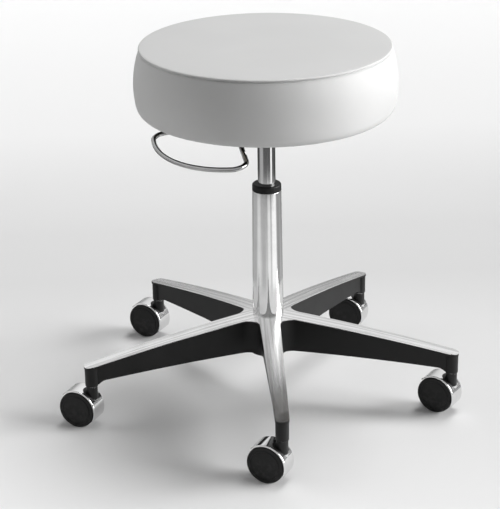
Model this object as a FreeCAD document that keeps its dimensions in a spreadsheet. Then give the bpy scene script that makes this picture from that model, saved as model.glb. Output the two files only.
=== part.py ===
import FreeCAD, Part
import Sketcher
import collections
import math
import os
import re

# Exam stool: round upholstered seat on a gas lift, five-leg cast base, hooded twin-wheel casters.
# Frame: +Z up, floor at z = 0, column on the Z axis, front leg along -Y.  Millimetres and degrees.

SIZES = {
    # Fits shared by all pieces
    "press_fit": 0.02,
    "running_fit": 0.05,
    "swivel_gap": 0.2,
    "cloth_gap": 0.1,
    # Caster wheels and axle
    "wheel_diameter": 60,
    "wheel_width": 11.5,
    "wheel_edge_radius": 2.5,
    "wheel_rim": 6,
    "wheel_disc": 4,
    "wheel_face": 3,
    "wheel_hub_diameter": 15,
    "cap_groove_width": 1.6,
    "cap_groove_depth": 0.7,
    "axle_diameter": 7,
    "axle_end_gap": 0.5,
    "axle_chamfer": 0.8,
    # Caster hood
    "trail": 21.5,
    "caster_web": 9,
    "wheel_side_gap": 0.5,
    "hood_gap": 1.2,
    "hood_wall": 2,
    "hood_overhang": 0.5,
    "hood_tail_angle": 46,
    "hood_nose_angle": 204,
    "hood_edge_radius": 1.5,
    "web_foot": 8,
    "web_corner_radius": 5,
    "boss_diameter": 18,
    "boss_rise": 13.6,
    "boss_root": 14,
    # Caster stem
    "stem_diameter": 11,
    "stem_top_gap": 3,
    "stem_chamfer": 1,
    "journal_diameter": 8,
    "journal_length": 14,
    "journal_end_gap": 0.5,
    "flange_diameter": 15.5,
    "flange_thickness": 1.8,
    "grip_height": 4,
    "grip_groove_depth": 0.8,
    "grip_ring_drop": 7,
    "grip_ring_opening": 30,
    # Headings of the caster trails, counted from +X
    "heading_front": 152.5,
    "heading_right": 145.5,
    "heading_back_right": 155,
    "heading_back_left": 149.5,
    "heading_left": 154,
    # Five-leg base casting
    "stem_circle_radius": 300,
    "socket_length": 32,
    "socket_diameter": 20.5,
    "socket_bore": 12.2,
    "leg_rise": 42,
    "leg_bow": 3,
    "leg_root_width": 34,
    "leg_tip_width": 21.5,
    "leg_tip_radius": 9.5,
    "leg_tip_depth": 24.5,
    "leg_root_depth": 59.5,
    "leg_arch": 1.5,
    "gusset_rise": 2,
    "gusset_length": 14,
    "crotch_radius": 20,
    "plate_thickness": 4,
    "plate_overhang": 4.5,
    "hub_length": 65,
    "hub_diameter": 62,
    "hub_flat_diameter": 56,
    "casting_wall": 3.5,
    "casting_roof": 5,
    "rib_thickness": 4,
    "cells_per_leg": 3,
    "cell_start": 54,
    "cell_end_margin": 26,
    "cell_corner_radius": 2.5,
    # Column and guide bush
    "column_rise": 210,
    "column_top_diameter": 46,
    "column_hub_diameter": 50,
    "column_foot_diameter": 47,
    "column_bore": 41,
    "column_lip_radius": 1,
    "collar_height": 11,
    "collar_radius": 3,
    "bush_length": 69,
    # Rod end and thrust bearing
    "end_plate_recess": 12,
    "end_plate_thickness": 4,
    "end_plate_hole": 9,
    "race_diameter": 26,
    "race_thickness": 3,
    "race_bore": 9,
    "ball_diameter": 5,
    "ball_circle_diameter": 17.5,
    "groove_depth": 0.6,
    "groove_relief": 0.15,
    "cage_thickness": 1.6,
    "cage_land": 1.2,
    "bumper_diameter": 24,
    "bumper_length": 12,
    "bumper_edge_radius": 2,
    "rod_diameter": 10,
    "rod_end_diameter": 8,
    "rod_tail": 3.5,
    "washer_diameter": 16,
    "washer_thickness": 1.6,
    "clip_diameter": 13,
    "clip_thickness": 1.2,
    "clip_groove_depth": 0.7,
    "clip_opening": 70,
    # Gas cylinder
    "cylinder_diameter": 28,
    "cylinder_wall": 2,
    "cylinder_insertion": 168,
    "cylinder_taper": 0.4,
    "taper_length": 32,
    "rod_guide_length": 12,
    "rod_seal_length": 6,
    "piston_rise": 88,
    "piston_length": 16,
    "piston_groove_width": 3,
    "piston_groove_depth": 2.2,
    "valve_length": 25,
    "valve_pin_diameter": 8,
    "valve_pin_length": 26,
    "valve_pin_edge_radius": 1.2,
    "pin_projection": 6,
    # Seat pan, hub and release lever
    "lift_gap": 120.8,
    "pan_width": 170,
    "pan_corner_radius": 18,
    "pan_thickness": 2.5,
    "pan_depth": 38,
    "pan_box_back": 31,
    "pan_box_width": 62,
    "pan_box_corner_radius": 6,
    "pan_screw_pitch": 130,
    "taper_hub_diameter": 42,
    "taper_hub_flange": 50,
    "taper_hub_flange_height": 4,
    "handle_heading": -143.6,
    "lever_headroom": 4,
    "lever_thickness": 5,
    "lever_gap": 0.25,
    "lever_finger_width": 18,
    "lever_finger_overrun": 7,
    "lever_block_width": 46,
    "lever_block_height": 15,
    "lever_block_front": 22,
    "lever_block_back": 8,
    "lever_corner_radius": 2,
    "lever_front_gap": 6,
    "pivot_offset": 40,
    "pivot_drop": 15.7,
    "pivot_diameter": 6,
    "pivot_head": 2,
    "slot_side_gap": 5,
    "slot_rise": 5,
    "slot_drop": 5,
    # Wire handle
    "wire_diameter": 7.5,
    "wire_spacing": 32,
    "wire_socket_depth": 14,
    "wire_tilt": 10.4,
    "wire_lead": 8,
    "wire_lead_radius": 12,
    "handle_reach": 177.7,
    "handle_half_width": 115,
    "handle_arc_radius": 161.2,
    "handle_corner_radius": 19,
    # Seat cushion
    "seat_diameter": 406,
    "rim_setback": 9.2,
    "seat_depth": 104.4,
    "seat_crown": 5,
    "seat_flat_diameter": 120,
    "rim_roll": 2.2,
    "seam_depth": 2.2,
    "seam_width": 3.2,
    "tuck_height": 17,
    "tuck_inset": 2.6,
    "board_setback": 19,
    "board_thickness": 12,
    "cover_thickness": 1.2,
    "hem_width": 22,
    "dust_cover_thickness": 0.8,
    "dust_cover_opening": 236,
    "dust_cover_margin": 8,
    # Seat screws
    "screw_diameter": 6,
    "screw_head_diameter": 11,
    "screw_head_height": 3.5,
    "nut_barrel_diameter": 8,
    "nut_flange_diameter": 18,
    "nut_flange_thickness": 1.2,
}

# Sizes that follow from the driving ones
DERIVED = {
    "wheel_radius": "wheel_diameter / 2",
    "wheel_bore_depth": "wheel_width - wheel_face",
    "wheel_offset": "caster_web / 2 + wheel_side_gap",
    "axle_half": "wheel_offset + wheel_bore_depth - axle_end_gap",
    "hood_inner": "wheel_radius + hood_gap",
    "hood_outer": "hood_inner + hood_wall",
    "hood_half": "wheel_offset + wheel_width + hood_overhang",
    "hood_shoulder": "wheel_radius + sqrt(hood_outer ^ 2 - trail ^ 2)",
    "boss_top": "hood_shoulder + boss_rise",
    "socket_bottom": "boss_top + swivel_gap + flange_thickness",
    "tip_top": "socket_bottom + socket_length",
    "stem_top": "tip_top - plate_thickness - stem_top_gap",
    "hub_top": "tip_top + leg_rise",
    "hub_bottom": "hub_top - hub_length",
    "leg_end": "stem_circle_radius + leg_tip_width / 2",
    "leg_taper": "(leg_root_width - leg_tip_width) / 2 / leg_end",
    "plate_reach": "leg_end + plate_overhang",
    "cell_pitch": "(stem_circle_radius - cell_end_margin - cell_start + rib_thickness) / cells_per_leg",
    "column_top": "hub_top + column_rise",
    "collar_top": "column_top + collar_height",
    "end_plate_bottom": "hub_bottom + end_plate_recess",
    "end_plate_top": "end_plate_bottom + end_plate_thickness",
    "lower_race_top": "end_plate_top + race_thickness",
    "groove_radius": "ball_diameter / 2 + groove_relief",
    "groove_half": "sqrt(2 * groove_radius * groove_depth - groove_depth ^ 2)",
    "ball_height": "lower_race_top - groove_depth + press_fit + ball_diameter / 2",
    "upper_race_bottom": "ball_height + ball_diameter / 2 + press_fit - groove_depth",
    "upper_race_top": "upper_race_bottom + race_thickness",
    "washer_top": "end_plate_bottom - swivel_gap",
    "clip_top": "washer_top - washer_thickness",
    "rod_bottom": "clip_top - clip_thickness - rod_tail",
    "cylinder_radius": "cylinder_diameter / 2",
    "cylinder_bore": "cylinder_radius - cylinder_wall",
    "cylinder_bottom": "collar_top - cylinder_insertion",
    "piston_bottom": "cylinder_bottom + piston_rise",
    "piston_top": "piston_bottom + piston_length",
    "piston_middle": "piston_bottom + piston_length / 2",
    "seat_base": "collar_top + lift_gap",
    "finger_top": "seat_base - lever_headroom",
    "finger_bottom": "finger_top - lever_thickness",
    "pin_top": "finger_bottom - lever_gap",
    "cylinder_top": "pin_top - pin_projection",
    "taper_bottom": "cylinder_top - taper_length",
    "pivot_height": "finger_bottom - pivot_drop",
    "pan_floor": "seat_base - pan_depth",
    "lever_front": "pivot_offset + lever_block_front",
    "pan_box_front": "lever_front + lever_front_gap + pan_thickness",
    "cover_bottom": "seat_base - cover_thickness",
    "rim_height": "cover_bottom + seat_depth",
    "seat_radius": "seat_diameter / 2",
    "rim_radius": "seat_radius - rim_setback",
    "board_radius": "seat_radius - board_setback",
    "board_top": "seat_base + board_thickness",
    "tuck_radius": "board_radius + cover_thickness",
    "hem_radius": "board_radius - hem_width",
}

LEGS = ("front", "right", "back_right", "back_left", "left")
LEG_PITCH = 360 / len(LEGS)
FRONT_ANGLE = -90
BALL_COUNT = 10
AXIS_Z = FreeCAD.Vector(0, 0, 1)

WORD = re.compile(r"[a-z][a-z0-9_]*")
# A point that the edge between two corners of an outline bends through
Bow = collections.namedtuple("Bow", "x y")

doc = FreeCAD.newDocument("exam_stool")
sheet = doc.addObject("Spreadsheet::Sheet", "Sizes")
for row, (alias, number) in enumerate(SIZES.items(), start=1):
    sheet.set(f"A{row}", alias)
    sheet.set(f"B{row}", str(number))
    sheet.setAlias(f"B{row}", alias)
doc.recompute()
derived = doc.addObject("App::VarSet", "Derived")
nodes = []


# Sizes and expressions


def formula(text):
    """Put the name of the sheet or of the set of derived sizes before each size."""

    def spell(match):
        word = match.group(0)
        if word in DERIVED:
            return f"Derived.{word}"
        if word in SIZES:
            return f"Sizes.{word}"
        return word

    return WORD.sub(spell, str(text))


def size(text):
    return float(sheet.evalExpression(formula(text)))


def bind(target, path, text):
    target.setExpression(path, formula(text))


def leg_angle(index):
    return FRONT_ANGLE + LEG_PITCH * index


def polar(radius, angle, side="0"):
    """Expressions for a point at a radius along a direction, moved sideways to its left."""
    x = f"({radius}) * cos({angle}) - ({side}) * sin({angle})"
    y = f"({radius}) * sin({angle}) + ({side}) * cos({angle})"
    return x, y


# Sketching


def add_rules(sketch, rules):
    """Add constraints in one go, and bind those that come with an expression."""
    numbers = sketch.addConstraint([constraint for constraint, _ in rules])
    for number, (_, text) in zip(numbers, rules):
        if text is not None:
            bind(sketch, f"Constraints[{number}]", text)


def rule(kind, *references):
    return Sketcher.Constraint(kind, *references), None


def hold(geometry, position, x, y):
    """Rules that keep a sketch point at bound distances from the sketch's origin."""
    return [
        (Sketcher.Constraint("DistanceX", -1, 1, geometry, position, size(x)), x),
        (Sketcher.Constraint("DistanceY", -1, 1, geometry, position, size(y)), y),
    ]


def radius_rule(geometry, radius):
    return Sketcher.Constraint("Radius", geometry, size(radius)), radius


def mark(sketch, x, y):
    """Construction point, with the rules that hold it."""
    geometry = sketch.addGeometry(Part.Point(FreeCAD.Vector(size(x), size(y), 0)), True)
    return geometry, hold(geometry, 1, x, y)


def circle(sketch, x, y, radius):
    centre = FreeCAD.Vector(size(x), size(y), 0)
    geometry = sketch.addGeometry(Part.Circle(centre, AXIS_Z, size(radius)))
    add_rules(sketch, hold(geometry, 3, x, y) + [radius_rule(geometry, radius)])


def arc_between(centre, first, last):
    """Counter-clockwise arc about a centre from one point to another."""
    radius = first.distanceToPoint(centre)
    angles = [math.atan2(point.y - centre.y, point.x - centre.x) for point in (first, last)]
    if angles[1] < angles[0]:
        angles[1] += 2 * math.pi
    return Part.ArcOfCircle(Part.Circle(centre, AXIS_Z, radius), *angles)


def is_left_turn(first, middle, last):
    return (middle - first).cross(last - middle).z > 0


def circumcentre(first, middle, last):
    a = middle - first
    b = last - first
    area = 2 * (a.x * b.y - a.y * b.x)
    x = (b.y * a.Length ** 2 - a.y * b.Length ** 2) / area
    y = (a.x * b.Length ** 2 - b.x * a.Length ** 2) / area
    return first + FreeCAD.Vector(x, y, 0)


def rounding(before, corner, after, radius):
    """Tangent points and centre of the arc that rounds a corner of two straight edges."""
    back = (before - corner).normalize()
    ahead = (after - corner).normalize()
    half = back.getAngle(ahead) / 2
    reach = radius / math.tan(half)
    centre = corner + (back + ahead).normalize() * (radius / math.sin(half))
    return corner + back * reach, corner + ahead * reach, centre


def draw(sketch, steps):
    """Closed outline.  A step is a corner (x, y), a rounded corner (x, y, radius) or a Bow."""
    corners = []
    bows = {}
    for step in steps:
        if isinstance(step, Bow):
            bows[len(corners) - 1] = step
        else:
            corners.append(step)
    count = len(corners)
    points = [FreeCAD.Vector(size(corner[0]), size(corner[1]), 0) for corner in corners]
    arrivals = list(points)
    departures = list(points)
    centres = {}
    for index, corner in enumerate(corners):
        if len(corner) == 3:
            before = points[index - 1]
            after = points[(index + 1) % count]
            ends = rounding(before, points[index], after, size(corner[2]))
            arrivals[index], departures[index], centres[index] = ends

    # Edges, with the sketch's own start and end positions of each
    edges = []
    rules = []
    for index in range(count):
        first = departures[index]
        last = arrivals[(index + 1) % count]
        ends = (1, 2)
        if index not in bows:
            edges.append((sketch.addGeometry(Part.LineSegment(first, last)), *ends))
            continue
        middle = FreeCAD.Vector(size(bows[index].x), size(bows[index].y), 0)
        centre = circumcentre(first, middle, last)
        if is_left_turn(first, middle, last):
            shape = arc_between(centre, first, last)
        else:
            shape = arc_between(centre, last, first)
            ends = (2, 1)
        edges.append((sketch.addGeometry(shape), *ends))
        through, held = mark(sketch, *bows[index])
        rules += [*held, rule("PointOnObject", through, 1, edges[index][0])]

    # Corners, sharp or rounded
    for index, corner in enumerate(corners):
        arriving, _, arriving_end = edges[index - 1]
        leaving, leaving_start, _ = edges[index]
        if index not in centres:
            rules.append(rule("Coincident", arriving, arriving_end, leaving, leaving_start))
            rules += hold(leaving, leaving_start, corner[0], corner[1])
            continue
        left = is_left_turn(points[index - 1], points[index], points[(index + 1) % count])
        ends = (arrivals[index], departures[index]) if left else (departures[index], arrivals[index])
        arc = sketch.addGeometry(arc_between(centres[index], *ends))
        arc_ends = (1, 2) if left else (2, 1)
        apex, held = mark(sketch, corner[0], corner[1])
        rules += [
            *held,
            rule("PointOnObject", apex, 1, arriving),
            rule("PointOnObject", apex, 1, leaving),
            rule("Tangent", arriving, arriving_end, arc, arc_ends[0]),
            rule("Tangent", arc, arc_ends[1], leaving, leaving_start),
            radius_rule(arc, corner[2]),
        ]
    add_rules(sketch, rules)


def rectangle(x_low, y_low, x_high, y_high, radius=None):
    corners = ((x_low, y_low), (x_high, y_low), (x_high, y_high), (x_low, y_high))
    return [corner if radius is None else (*corner, radius) for corner in corners]


# Bodies and features


def new_body(name):
    return doc.addObject("PartDesign::Body", name)


def sketch_on(body, role, name, offset="0"):
    sketch = body.newObject("Sketcher::SketchObject", name)
    plane = next(item for item in body.Origin.OriginFeatures if item.Role == role)
    sketch.AttachmentSupport = (plane, [""])
    sketch.MapMode = "FlatFace"
    bind(sketch, "AttachmentOffset.Base.z", offset)
    return sketch


def pad(body, sketch, length, symmetric=False, reverse=False):
    feature = body.newObject("PartDesign::Pad", f"{sketch.Name}_pad")
    feature.Profile = sketch
    bind(feature, "Length", length)
    feature.SideType = "Symmetric" if symmetric else "One side"
    feature.Reversed = reverse
    return feature


def pocket(body, sketch, length, symmetric=False, reverse=False):
    """Cut a sketch away over a length, and stop the build if nothing was cut."""
    doc.recompute()
    volume = body.Shape.Volume
    feature = body.newObject("PartDesign::Pocket", f"{sketch.Name}_pocket")
    feature.Profile = sketch
    bind(feature, "Length", length)
    feature.SideType = "Symmetric" if symmetric else "One side"
    feature.Reversed = reverse
    doc.recompute()
    if body.Shape.Volume >= volume:
        raise RuntimeError(f"{sketch.Name} cuts nothing")
    return feature


def turned(name, steps, angle="360", plane="XZ_Plane"):
    """Body turned about an upright axis, or about Y, from a half section in radius and height."""
    body = new_body(name)
    sketch = sketch_on(body, plane, f"{name}_section")
    draw(sketch, steps)
    feature = body.newObject("PartDesign::Revolution", f"{name}_turned")
    feature.Profile = sketch
    feature.ReferenceAxis = (sketch, ["V_Axis"])
    bind(feature, "Angle", angle)
    return body


def ring(inner, bottom, outer, top):
    return [(inner, bottom), (outer, bottom), (outer, top), (inner, top)]


def keep(piece, label):
    """Make an object one of the stool's sub-parts."""
    piece.Label = label
    nodes.append(piece)
    return piece


def place(piece, x="0", y="0", z="0", heading=None):
    for axis, text in (("x", x), ("y", y), ("z", z)):
        bind(piece, f"Placement.Base.{axis}", text)
    if heading is not None:
        bind(piece, "Placement.Rotation.Angle", f"({heading}) * 1 deg")
    return piece


def cylinder(name, radius, height, x="0", y="0", z="0"):
    solid = doc.addObject("Part::Cylinder", name)
    bind(solid, "Radius", radius)
    bind(solid, "Height", height)
    return place(solid, x, y, z)


def fuse(name, pieces):
    joined = doc.addObject("Part::MultiFuse", name)
    joined.Shapes = pieces
    return joined


def common(name, pieces):
    shared = doc.addObject("Part::MultiCommon", name)
    shared.Shapes = pieces
    return shared


def cut(name, base, tool):
    result = doc.addObject("Part::Cut", name)
    result.Base = base
    result.Tool = tool
    return result


def gather(name, pieces):
    compound = doc.addObject("Part::Compound", name)
    compound.Links = pieces
    return compound


def copy(name, master, x="0", y="0", z="0", heading=None):
    """One more of a piece that is modelled once, with a place of its own."""
    return place(gather(name, [master]), x, y, z, heading)


def free_sketch(name, upright=False):
    sketch = doc.addObject("Sketcher::SketchObject", name)
    if upright:
        sketch.Placement.Rotation = FreeCAD.Rotation(FreeCAD.Vector(1, 0, 0), 90)
    return sketch


def extruded(name, outlines, height):
    sketch = free_sketch(f"{name}_outline")
    for steps in outlines:
        draw(sketch, steps)
    solid = doc.addObject("Part::Extrusion", name)
    solid.Base = sketch
    solid.DirMode = "Custom"
    solid.Dir = AXIS_Z
    solid.Solid = True
    bind(solid, "LengthFwd", height)
    return solid


def revolved(name, steps):
    sketch = free_sketch(f"{name}_section", upright=True)
    draw(sketch, steps)
    solid = doc.addObject("Part::Revolution", name)
    solid.Source = sketch
    solid.Axis = AXIS_Z
    solid.Solid = True
    return solid


# Base casting


def star_outline(inset):
    """Plan of the five tapered legs, drawn in by an inset on every side."""
    root = f"(leg_root_width / 2 - ({inset}))"
    tip = f"(leg_tip_width / 2 - ({inset}))"
    end = f"(leg_end - ({inset}))"
    half_pitch = LEG_PITCH / 2
    crotch = f"{root} / (sin({half_pitch}) + leg_taper * cos({half_pitch}))"
    steps = []
    for index in range(len(LEGS)):
        angle = leg_angle(index)
        steps.append((*polar(end, angle, f"-{tip}"), f"leg_tip_radius - ({inset})"))
        steps.append((*polar(end, angle, tip), f"leg_tip_radius - ({inset})"))
        steps.append((*polar(crotch, angle + half_pitch), f"crotch_radius + ({inset})"))
    return steps


def leg_top(drop):
    """Upper curve of the legs in radius and height, lowered by a drop."""
    flat = "hub_flat_diameter / 2"
    middle = Bow(f"({flat} + plate_reach) / 2", f"(hub_top + tip_top) / 2 + leg_bow - ({drop})")
    return [
        ("0", f"hub_top - ({drop})"),
        (flat, f"hub_top - ({drop})"),
        middle,
        ("plate_reach", f"tip_top - ({drop})"),
    ]


def hollow_cells():
    """Plan of the hollows under a leg along +X, with cross ribs left between them."""
    outlines = []
    for cell in range(int(size("cells_per_leg"))):
        near = f"(cell_start + {cell} * cell_pitch)"
        far = f"({near} + cell_pitch - rib_thickness)"
        corners = []
        for radius, side in ((near, "-1"), (far, "-1"), (far, "1"), (near, "1")):
            half = f"(leg_root_width / 2 - leg_taper * {radius} - plate_overhang - casting_wall)"
            corners.append((radius, f"{side} * {half}", "cell_corner_radius"))
        outlines.append(corners)
    return outlines


def at_each_stem(name, radius, bottom, height):
    pieces = []
    for index, leg in enumerate(LEGS):
        x, y = polar("stem_circle_radius", leg_angle(index))
        pieces.append(cylinder(f"{leg}_{name}", radius, height, x, y, bottom))
    return pieces


def make_base_casting():
    tall = "hub_top + leg_bow + plate_thickness"
    lower = list(reversed(leg_top("plate_thickness")))
    plate = common("leg_plates", [
        extruded("plate_star", [star_outline("0")], tall),
        revolved("plate_band", leg_top("0") + lower),
    ])
    arch = Bow(
        "(stem_circle_radius + hub_diameter / 2) / 2",
        "(hub_top + tip_top - leg_root_depth - leg_tip_depth) / 2 + leg_arch",
    )
    gusset_bottom = "socket_bottom + gusset_rise"
    socket_edge = "stem_circle_radius - socket_diameter / 2"
    tip_under = "tip_top - leg_tip_depth"
    webs = common("leg_webs", [
        extruded("web_star", [star_outline("plate_overhang")], tall),
        revolved("web_band", leg_top("plate_thickness / 2") + [
            ("plate_reach", gusset_bottom),
            (socket_edge, gusset_bottom),
            Bow(f"{socket_edge} - 0.35 * gusset_length", f"0.35 * ({gusset_bottom}) + 0.65 * ({tip_under})"),
            (f"{socket_edge} - gusset_length", tip_under),
            arch,
            ("hub_diameter / 2", "hub_top - leg_root_depth"),
            ("0", "hub_top - leg_root_depth"),
        ]),
    ])
    hub = cylinder("hub_boss", "hub_diameter / 2", "hub_length - plate_thickness / 2", z="hub_bottom")
    sockets = at_each_stem(
        "socket", "socket_diameter / 2", "socket_bottom", "socket_length - plate_thickness / 2",
    )
    solid = fuse("base_solid", [plate, webs, hub, *sockets])

    hollow = common("leg_hollow", [
        extruded("hollow_plan", hollow_cells(), tall),
        revolved("hollow_band", leg_top("casting_roof") + [("plate_reach", "0"), ("0", "0")]),
    ])
    hollows = [copy(f"{leg}_hollow", hollow, heading=leg_angle(index)) for index, leg in enumerate(LEGS)]
    bore = doc.addObject("Part::Cone", "column_seat")
    bind(bore, "Radius1", "column_foot_diameter / 2 + press_fit")
    bind(bore, "Radius2", "column_hub_diameter / 2 + press_fit")
    bind(bore, "Height", "hub_length")
    place(bore, z="hub_bottom")
    stem_bores = at_each_stem(
        "stem_bore", "socket_bore / 2", "socket_bottom", "socket_length - plate_thickness",
    )
    keep(cut("base_casting", solid, gather("base_cuts", [*hollows, bore, *stem_bores])), "base_casting")


# Column and gas lift


def make_column():
    bore = "column_bore / 2"
    keep(turned("column_tube", [
        (bore, "hub_bottom"),
        ("column_foot_diameter / 2", "hub_bottom"),
        ("column_hub_diameter / 2", "hub_top"),
        ("column_top_diameter / 2", "column_top", "column_lip_radius"),
        (bore, "column_top"),
    ]), "column_tube")
    slide = "cylinder_radius + running_fit"
    keep(turned("guide_bush", [
        (slide, "column_top - bush_length"),
        (f"{bore} - press_fit", "column_top - bush_length"),
        (f"{bore} - press_fit", "column_top"),
        ("column_top_diameter / 2", "column_top"),
        ("column_top_diameter / 2", "collar_top", "collar_radius"),
        (slide, "collar_top"),
    ]), "guide_bush")
    keep(turned("column_end_plate", ring(
        "end_plate_hole / 2", "end_plate_bottom", f"{bore} - press_fit", "end_plate_top",
    )), "column_end_plate")


def race(name, bore, flat, grooved, groove):
    """Bearing race with its ball groove in one face."""
    middle = "ball_circle_diameter / 2"
    keep(turned(name, [
        (bore, flat),
        ("race_diameter / 2", flat),
        ("race_diameter / 2", grooved),
        (f"{middle} + groove_half", grooved),
        Bow(middle, groove),
        (f"{middle} - groove_half", grooved),
        (bore, grooved),
    ]), name)


def make_thrust_bearing():
    race(
        "bearing_lower_race", "race_bore / 2", "end_plate_top", "lower_race_top",
        "lower_race_top - groove_depth",
    )
    race("bearing_upper_race", "rod_end_diameter / 2 + press_fit", "upper_race_top", "upper_race_bottom",
         "upper_race_bottom + groove_depth")
    balls = []
    cage = new_body("ball_cage")
    plan = sketch_on(cage, "XY_Plane", "ball_cage_plan", "ball_height - cage_thickness / 2")
    pocket_radius = "ball_diameter / 2 + running_fit"
    for side in (1, -1):
        circle(plan, "0", "0", f"ball_circle_diameter / 2 + {side} * ({pocket_radius} + cage_land)")
    for index in range(BALL_COUNT):
        x, y = polar("ball_circle_diameter / 2", 360 / BALL_COUNT * index)
        circle(plan, x, y, pocket_radius)
        ball = doc.addObject("Part::Sphere", f"ball_{index + 1}")
        bind(ball, "Radius", "ball_diameter / 2")
        balls.append(place(ball, x, y, "ball_height"))
    pad(cage, plan, "cage_thickness")
    keep(cage, "ball_cage")
    keep(gather("thrust_balls", balls), "thrust_balls")


def make_rod():
    end = "rod_end_diameter / 2"
    keep(turned("piston_rod", [
        ("0", "rod_bottom"),
        (end, "rod_bottom"),
        (end, "clip_top - clip_thickness"),
        (f"{end} - clip_groove_depth", "clip_top - clip_thickness"),
        (f"{end} - clip_groove_depth", "clip_top"),
        (end, "clip_top"),
        (end, "upper_race_top"),
        ("rod_diameter / 2", "upper_race_top"),
        ("rod_diameter / 2", "piston_bottom"),
        (end, "piston_bottom"),
        (end, "piston_top"),
        ("0", "piston_top"),
    ]), "piston_rod")
    outer = "cylinder_bore - running_fit"
    floor = f"{outer} - piston_groove_depth"
    keep(turned("piston", [
        (f"{end} + press_fit", "piston_bottom"),
        (outer, "piston_bottom"),
        (outer, "piston_middle - piston_groove_width / 2"),
        (floor, "piston_middle - piston_groove_width / 2"),
        (floor, "piston_middle + piston_groove_width / 2"),
        (outer, "piston_middle + piston_groove_width / 2"),
        (outer, "piston_top"),
        (f"{end} + press_fit", "piston_top"),
    ]), "piston")
    keep(turned("piston_seal", ring(
        f"{floor} + press_fit", "piston_middle - piston_groove_width / 2 + press_fit",
        outer, "piston_middle + piston_groove_width / 2 - press_fit",
    )), "piston_seal")
    keep(turned("bumper", [
        ("rod_diameter / 2 + press_fit", "upper_race_top"),
        ("bumper_diameter / 2", "upper_race_top"),
        ("bumper_diameter / 2", "upper_race_top + bumper_length", "bumper_edge_radius"),
        ("rod_diameter / 2 + press_fit", "upper_race_top + bumper_length"),
    ]), "bumper")
    keep(turned("rod_washer", ring(
        f"{end} + press_fit", "clip_top", "washer_diameter / 2", "washer_top",
    )), "rod_washer")
    keep(turned("rod_clip", ring(
        f"{end} - clip_groove_depth + press_fit", "clip_top - clip_thickness",
        "clip_diameter / 2", "clip_top",
    ), "360 - clip_opening"), "rod_clip")


def make_gas_cylinder():
    neck = "cylinder_radius - cylinder_taper"
    keep(turned("gas_cylinder", [
        ("cylinder_bore", "cylinder_bottom"),
        ("cylinder_radius", "cylinder_bottom"),
        ("cylinder_radius", "taper_bottom"),
        (neck, "cylinder_top"),
        ("cylinder_bore", "cylinder_top"),
    ]), "gas_cylinder")
    fitted = "cylinder_bore - press_fit"
    slide = "rod_diameter / 2 + running_fit"
    guide_top = "cylinder_bottom + rod_guide_length"
    keep(turned("rod_guide", ring(slide, "cylinder_bottom", fitted, guide_top)), "rod_guide")
    keep(turned("rod_seal", ring(slide, guide_top, fitted, f"{guide_top} + rod_seal_length")), "rod_seal")
    pin = "valve_pin_diameter / 2"
    keep(turned("valve_body", ring(
        f"{pin} + running_fit", "cylinder_top - valve_length", fitted, "cylinder_top",
    )), "valve_body")
    keep(turned("valve_pin", [
        ("0", "pin_top - valve_pin_length"),
        (pin, "pin_top - valve_pin_length"),
        (pin, "pin_top", "valve_pin_edge_radius"),
        ("0", "pin_top"),
    ]), "valve_pin")
    outer = "taper_hub_diameter / 2"
    floor_top = "pan_floor + pan_thickness"
    keep(turned("taper_hub", [
        ("cylinder_radius + press_fit", "taper_bottom"),
        (outer, "taper_bottom"),
        (outer, floor_top),
        ("taper_hub_flange / 2", floor_top),
        ("taper_hub_flange / 2", f"{floor_top} + taper_hub_flange_height"),
        (outer, f"{floor_top} + taper_hub_flange_height"),
        (outer, "cylinder_top"),
        (f"{neck} + press_fit", "cylinder_top"),
    ]), "taper_hub")


# Seat pan and release


def make_seat_pan():
    body = new_body("seat_pan")
    half = "pan_width / 2"
    flange = sketch_on(body, "XY_Plane", "pan_flange", "seat_base")
    draw(flange, rectangle(f"-{half}", f"-{half}", half, half, "pan_corner_radius"))
    pad(body, flange, "pan_thickness", reverse=True)
    box = sketch_on(body, "XY_Plane", "pan_box", "seat_base")
    side = "pan_box_width / 2"
    draw(box, rectangle("-pan_box_back", f"-{side}", "pan_box_front", side, "pan_box_corner_radius"))
    pad(body, box, "pan_depth", reverse=True)
    inside = sketch_on(body, "XY_Plane", "pan_inside", "seat_base")
    draw(inside, rectangle(
        "pan_thickness - pan_box_back", f"pan_thickness - {side}",
        "pan_box_front - pan_thickness", f"{side} - pan_thickness", "pan_box_corner_radius - pan_thickness",
    ))
    pocket(body, inside, "pan_depth - pan_thickness")
    holes = sketch_on(body, "XY_Plane", "pan_holes", "seat_base")
    circle(holes, "0", "0", "taper_hub_diameter / 2 + press_fit")
    for x, y in screw_places():
        circle(holes, x, y, "screw_diameter / 2 + running_fit")
    pocket(body, holes, "pan_depth + pan_thickness")
    slot = sketch_on(body, "YZ_Plane", "pan_slot", "pan_box_front + pan_thickness")
    slot_half = "(wire_spacing + wire_diameter) / 2 + slot_side_gap"
    draw(slot, rectangle(
        f"-({slot_half})", "pivot_height - wire_diameter / 2 - slot_drop",
        slot_half, "pivot_height + wire_diameter / 2 + slot_rise",
    ))
    pocket(body, slot, "3 * pan_thickness")
    pivots = sketch_on(body, "XZ_Plane", "pan_pivots")
    circle(pivots, "pivot_offset", "pivot_height", "pivot_diameter / 2 + press_fit")
    pocket(body, pivots, "pan_box_width + pan_thickness", symmetric=True)
    keep(place(body, heading="handle_heading"), "seat_pan")

    rivet = new_body("lever_pivot_pin")
    shank = sketch_on(rivet, "XZ_Plane", "pivot_shank")
    circle(shank, "pivot_offset", "pivot_height", "pivot_diameter / 2")
    pad(rivet, shank, "pan_box_width", symmetric=True)
    for name, offset, outwards in (("left", f"-{side}", True), ("right", side, False)):
        head = sketch_on(rivet, "XZ_Plane", f"pivot_head_{name}", offset)
        circle(head, "pivot_offset", "pivot_height", "pivot_diameter / 2 + pivot_head")
        pad(rivet, head, "pivot_head", reverse=outwards)
    keep(place(rivet, heading="handle_heading"), "lever_pivot_pin")


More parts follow.
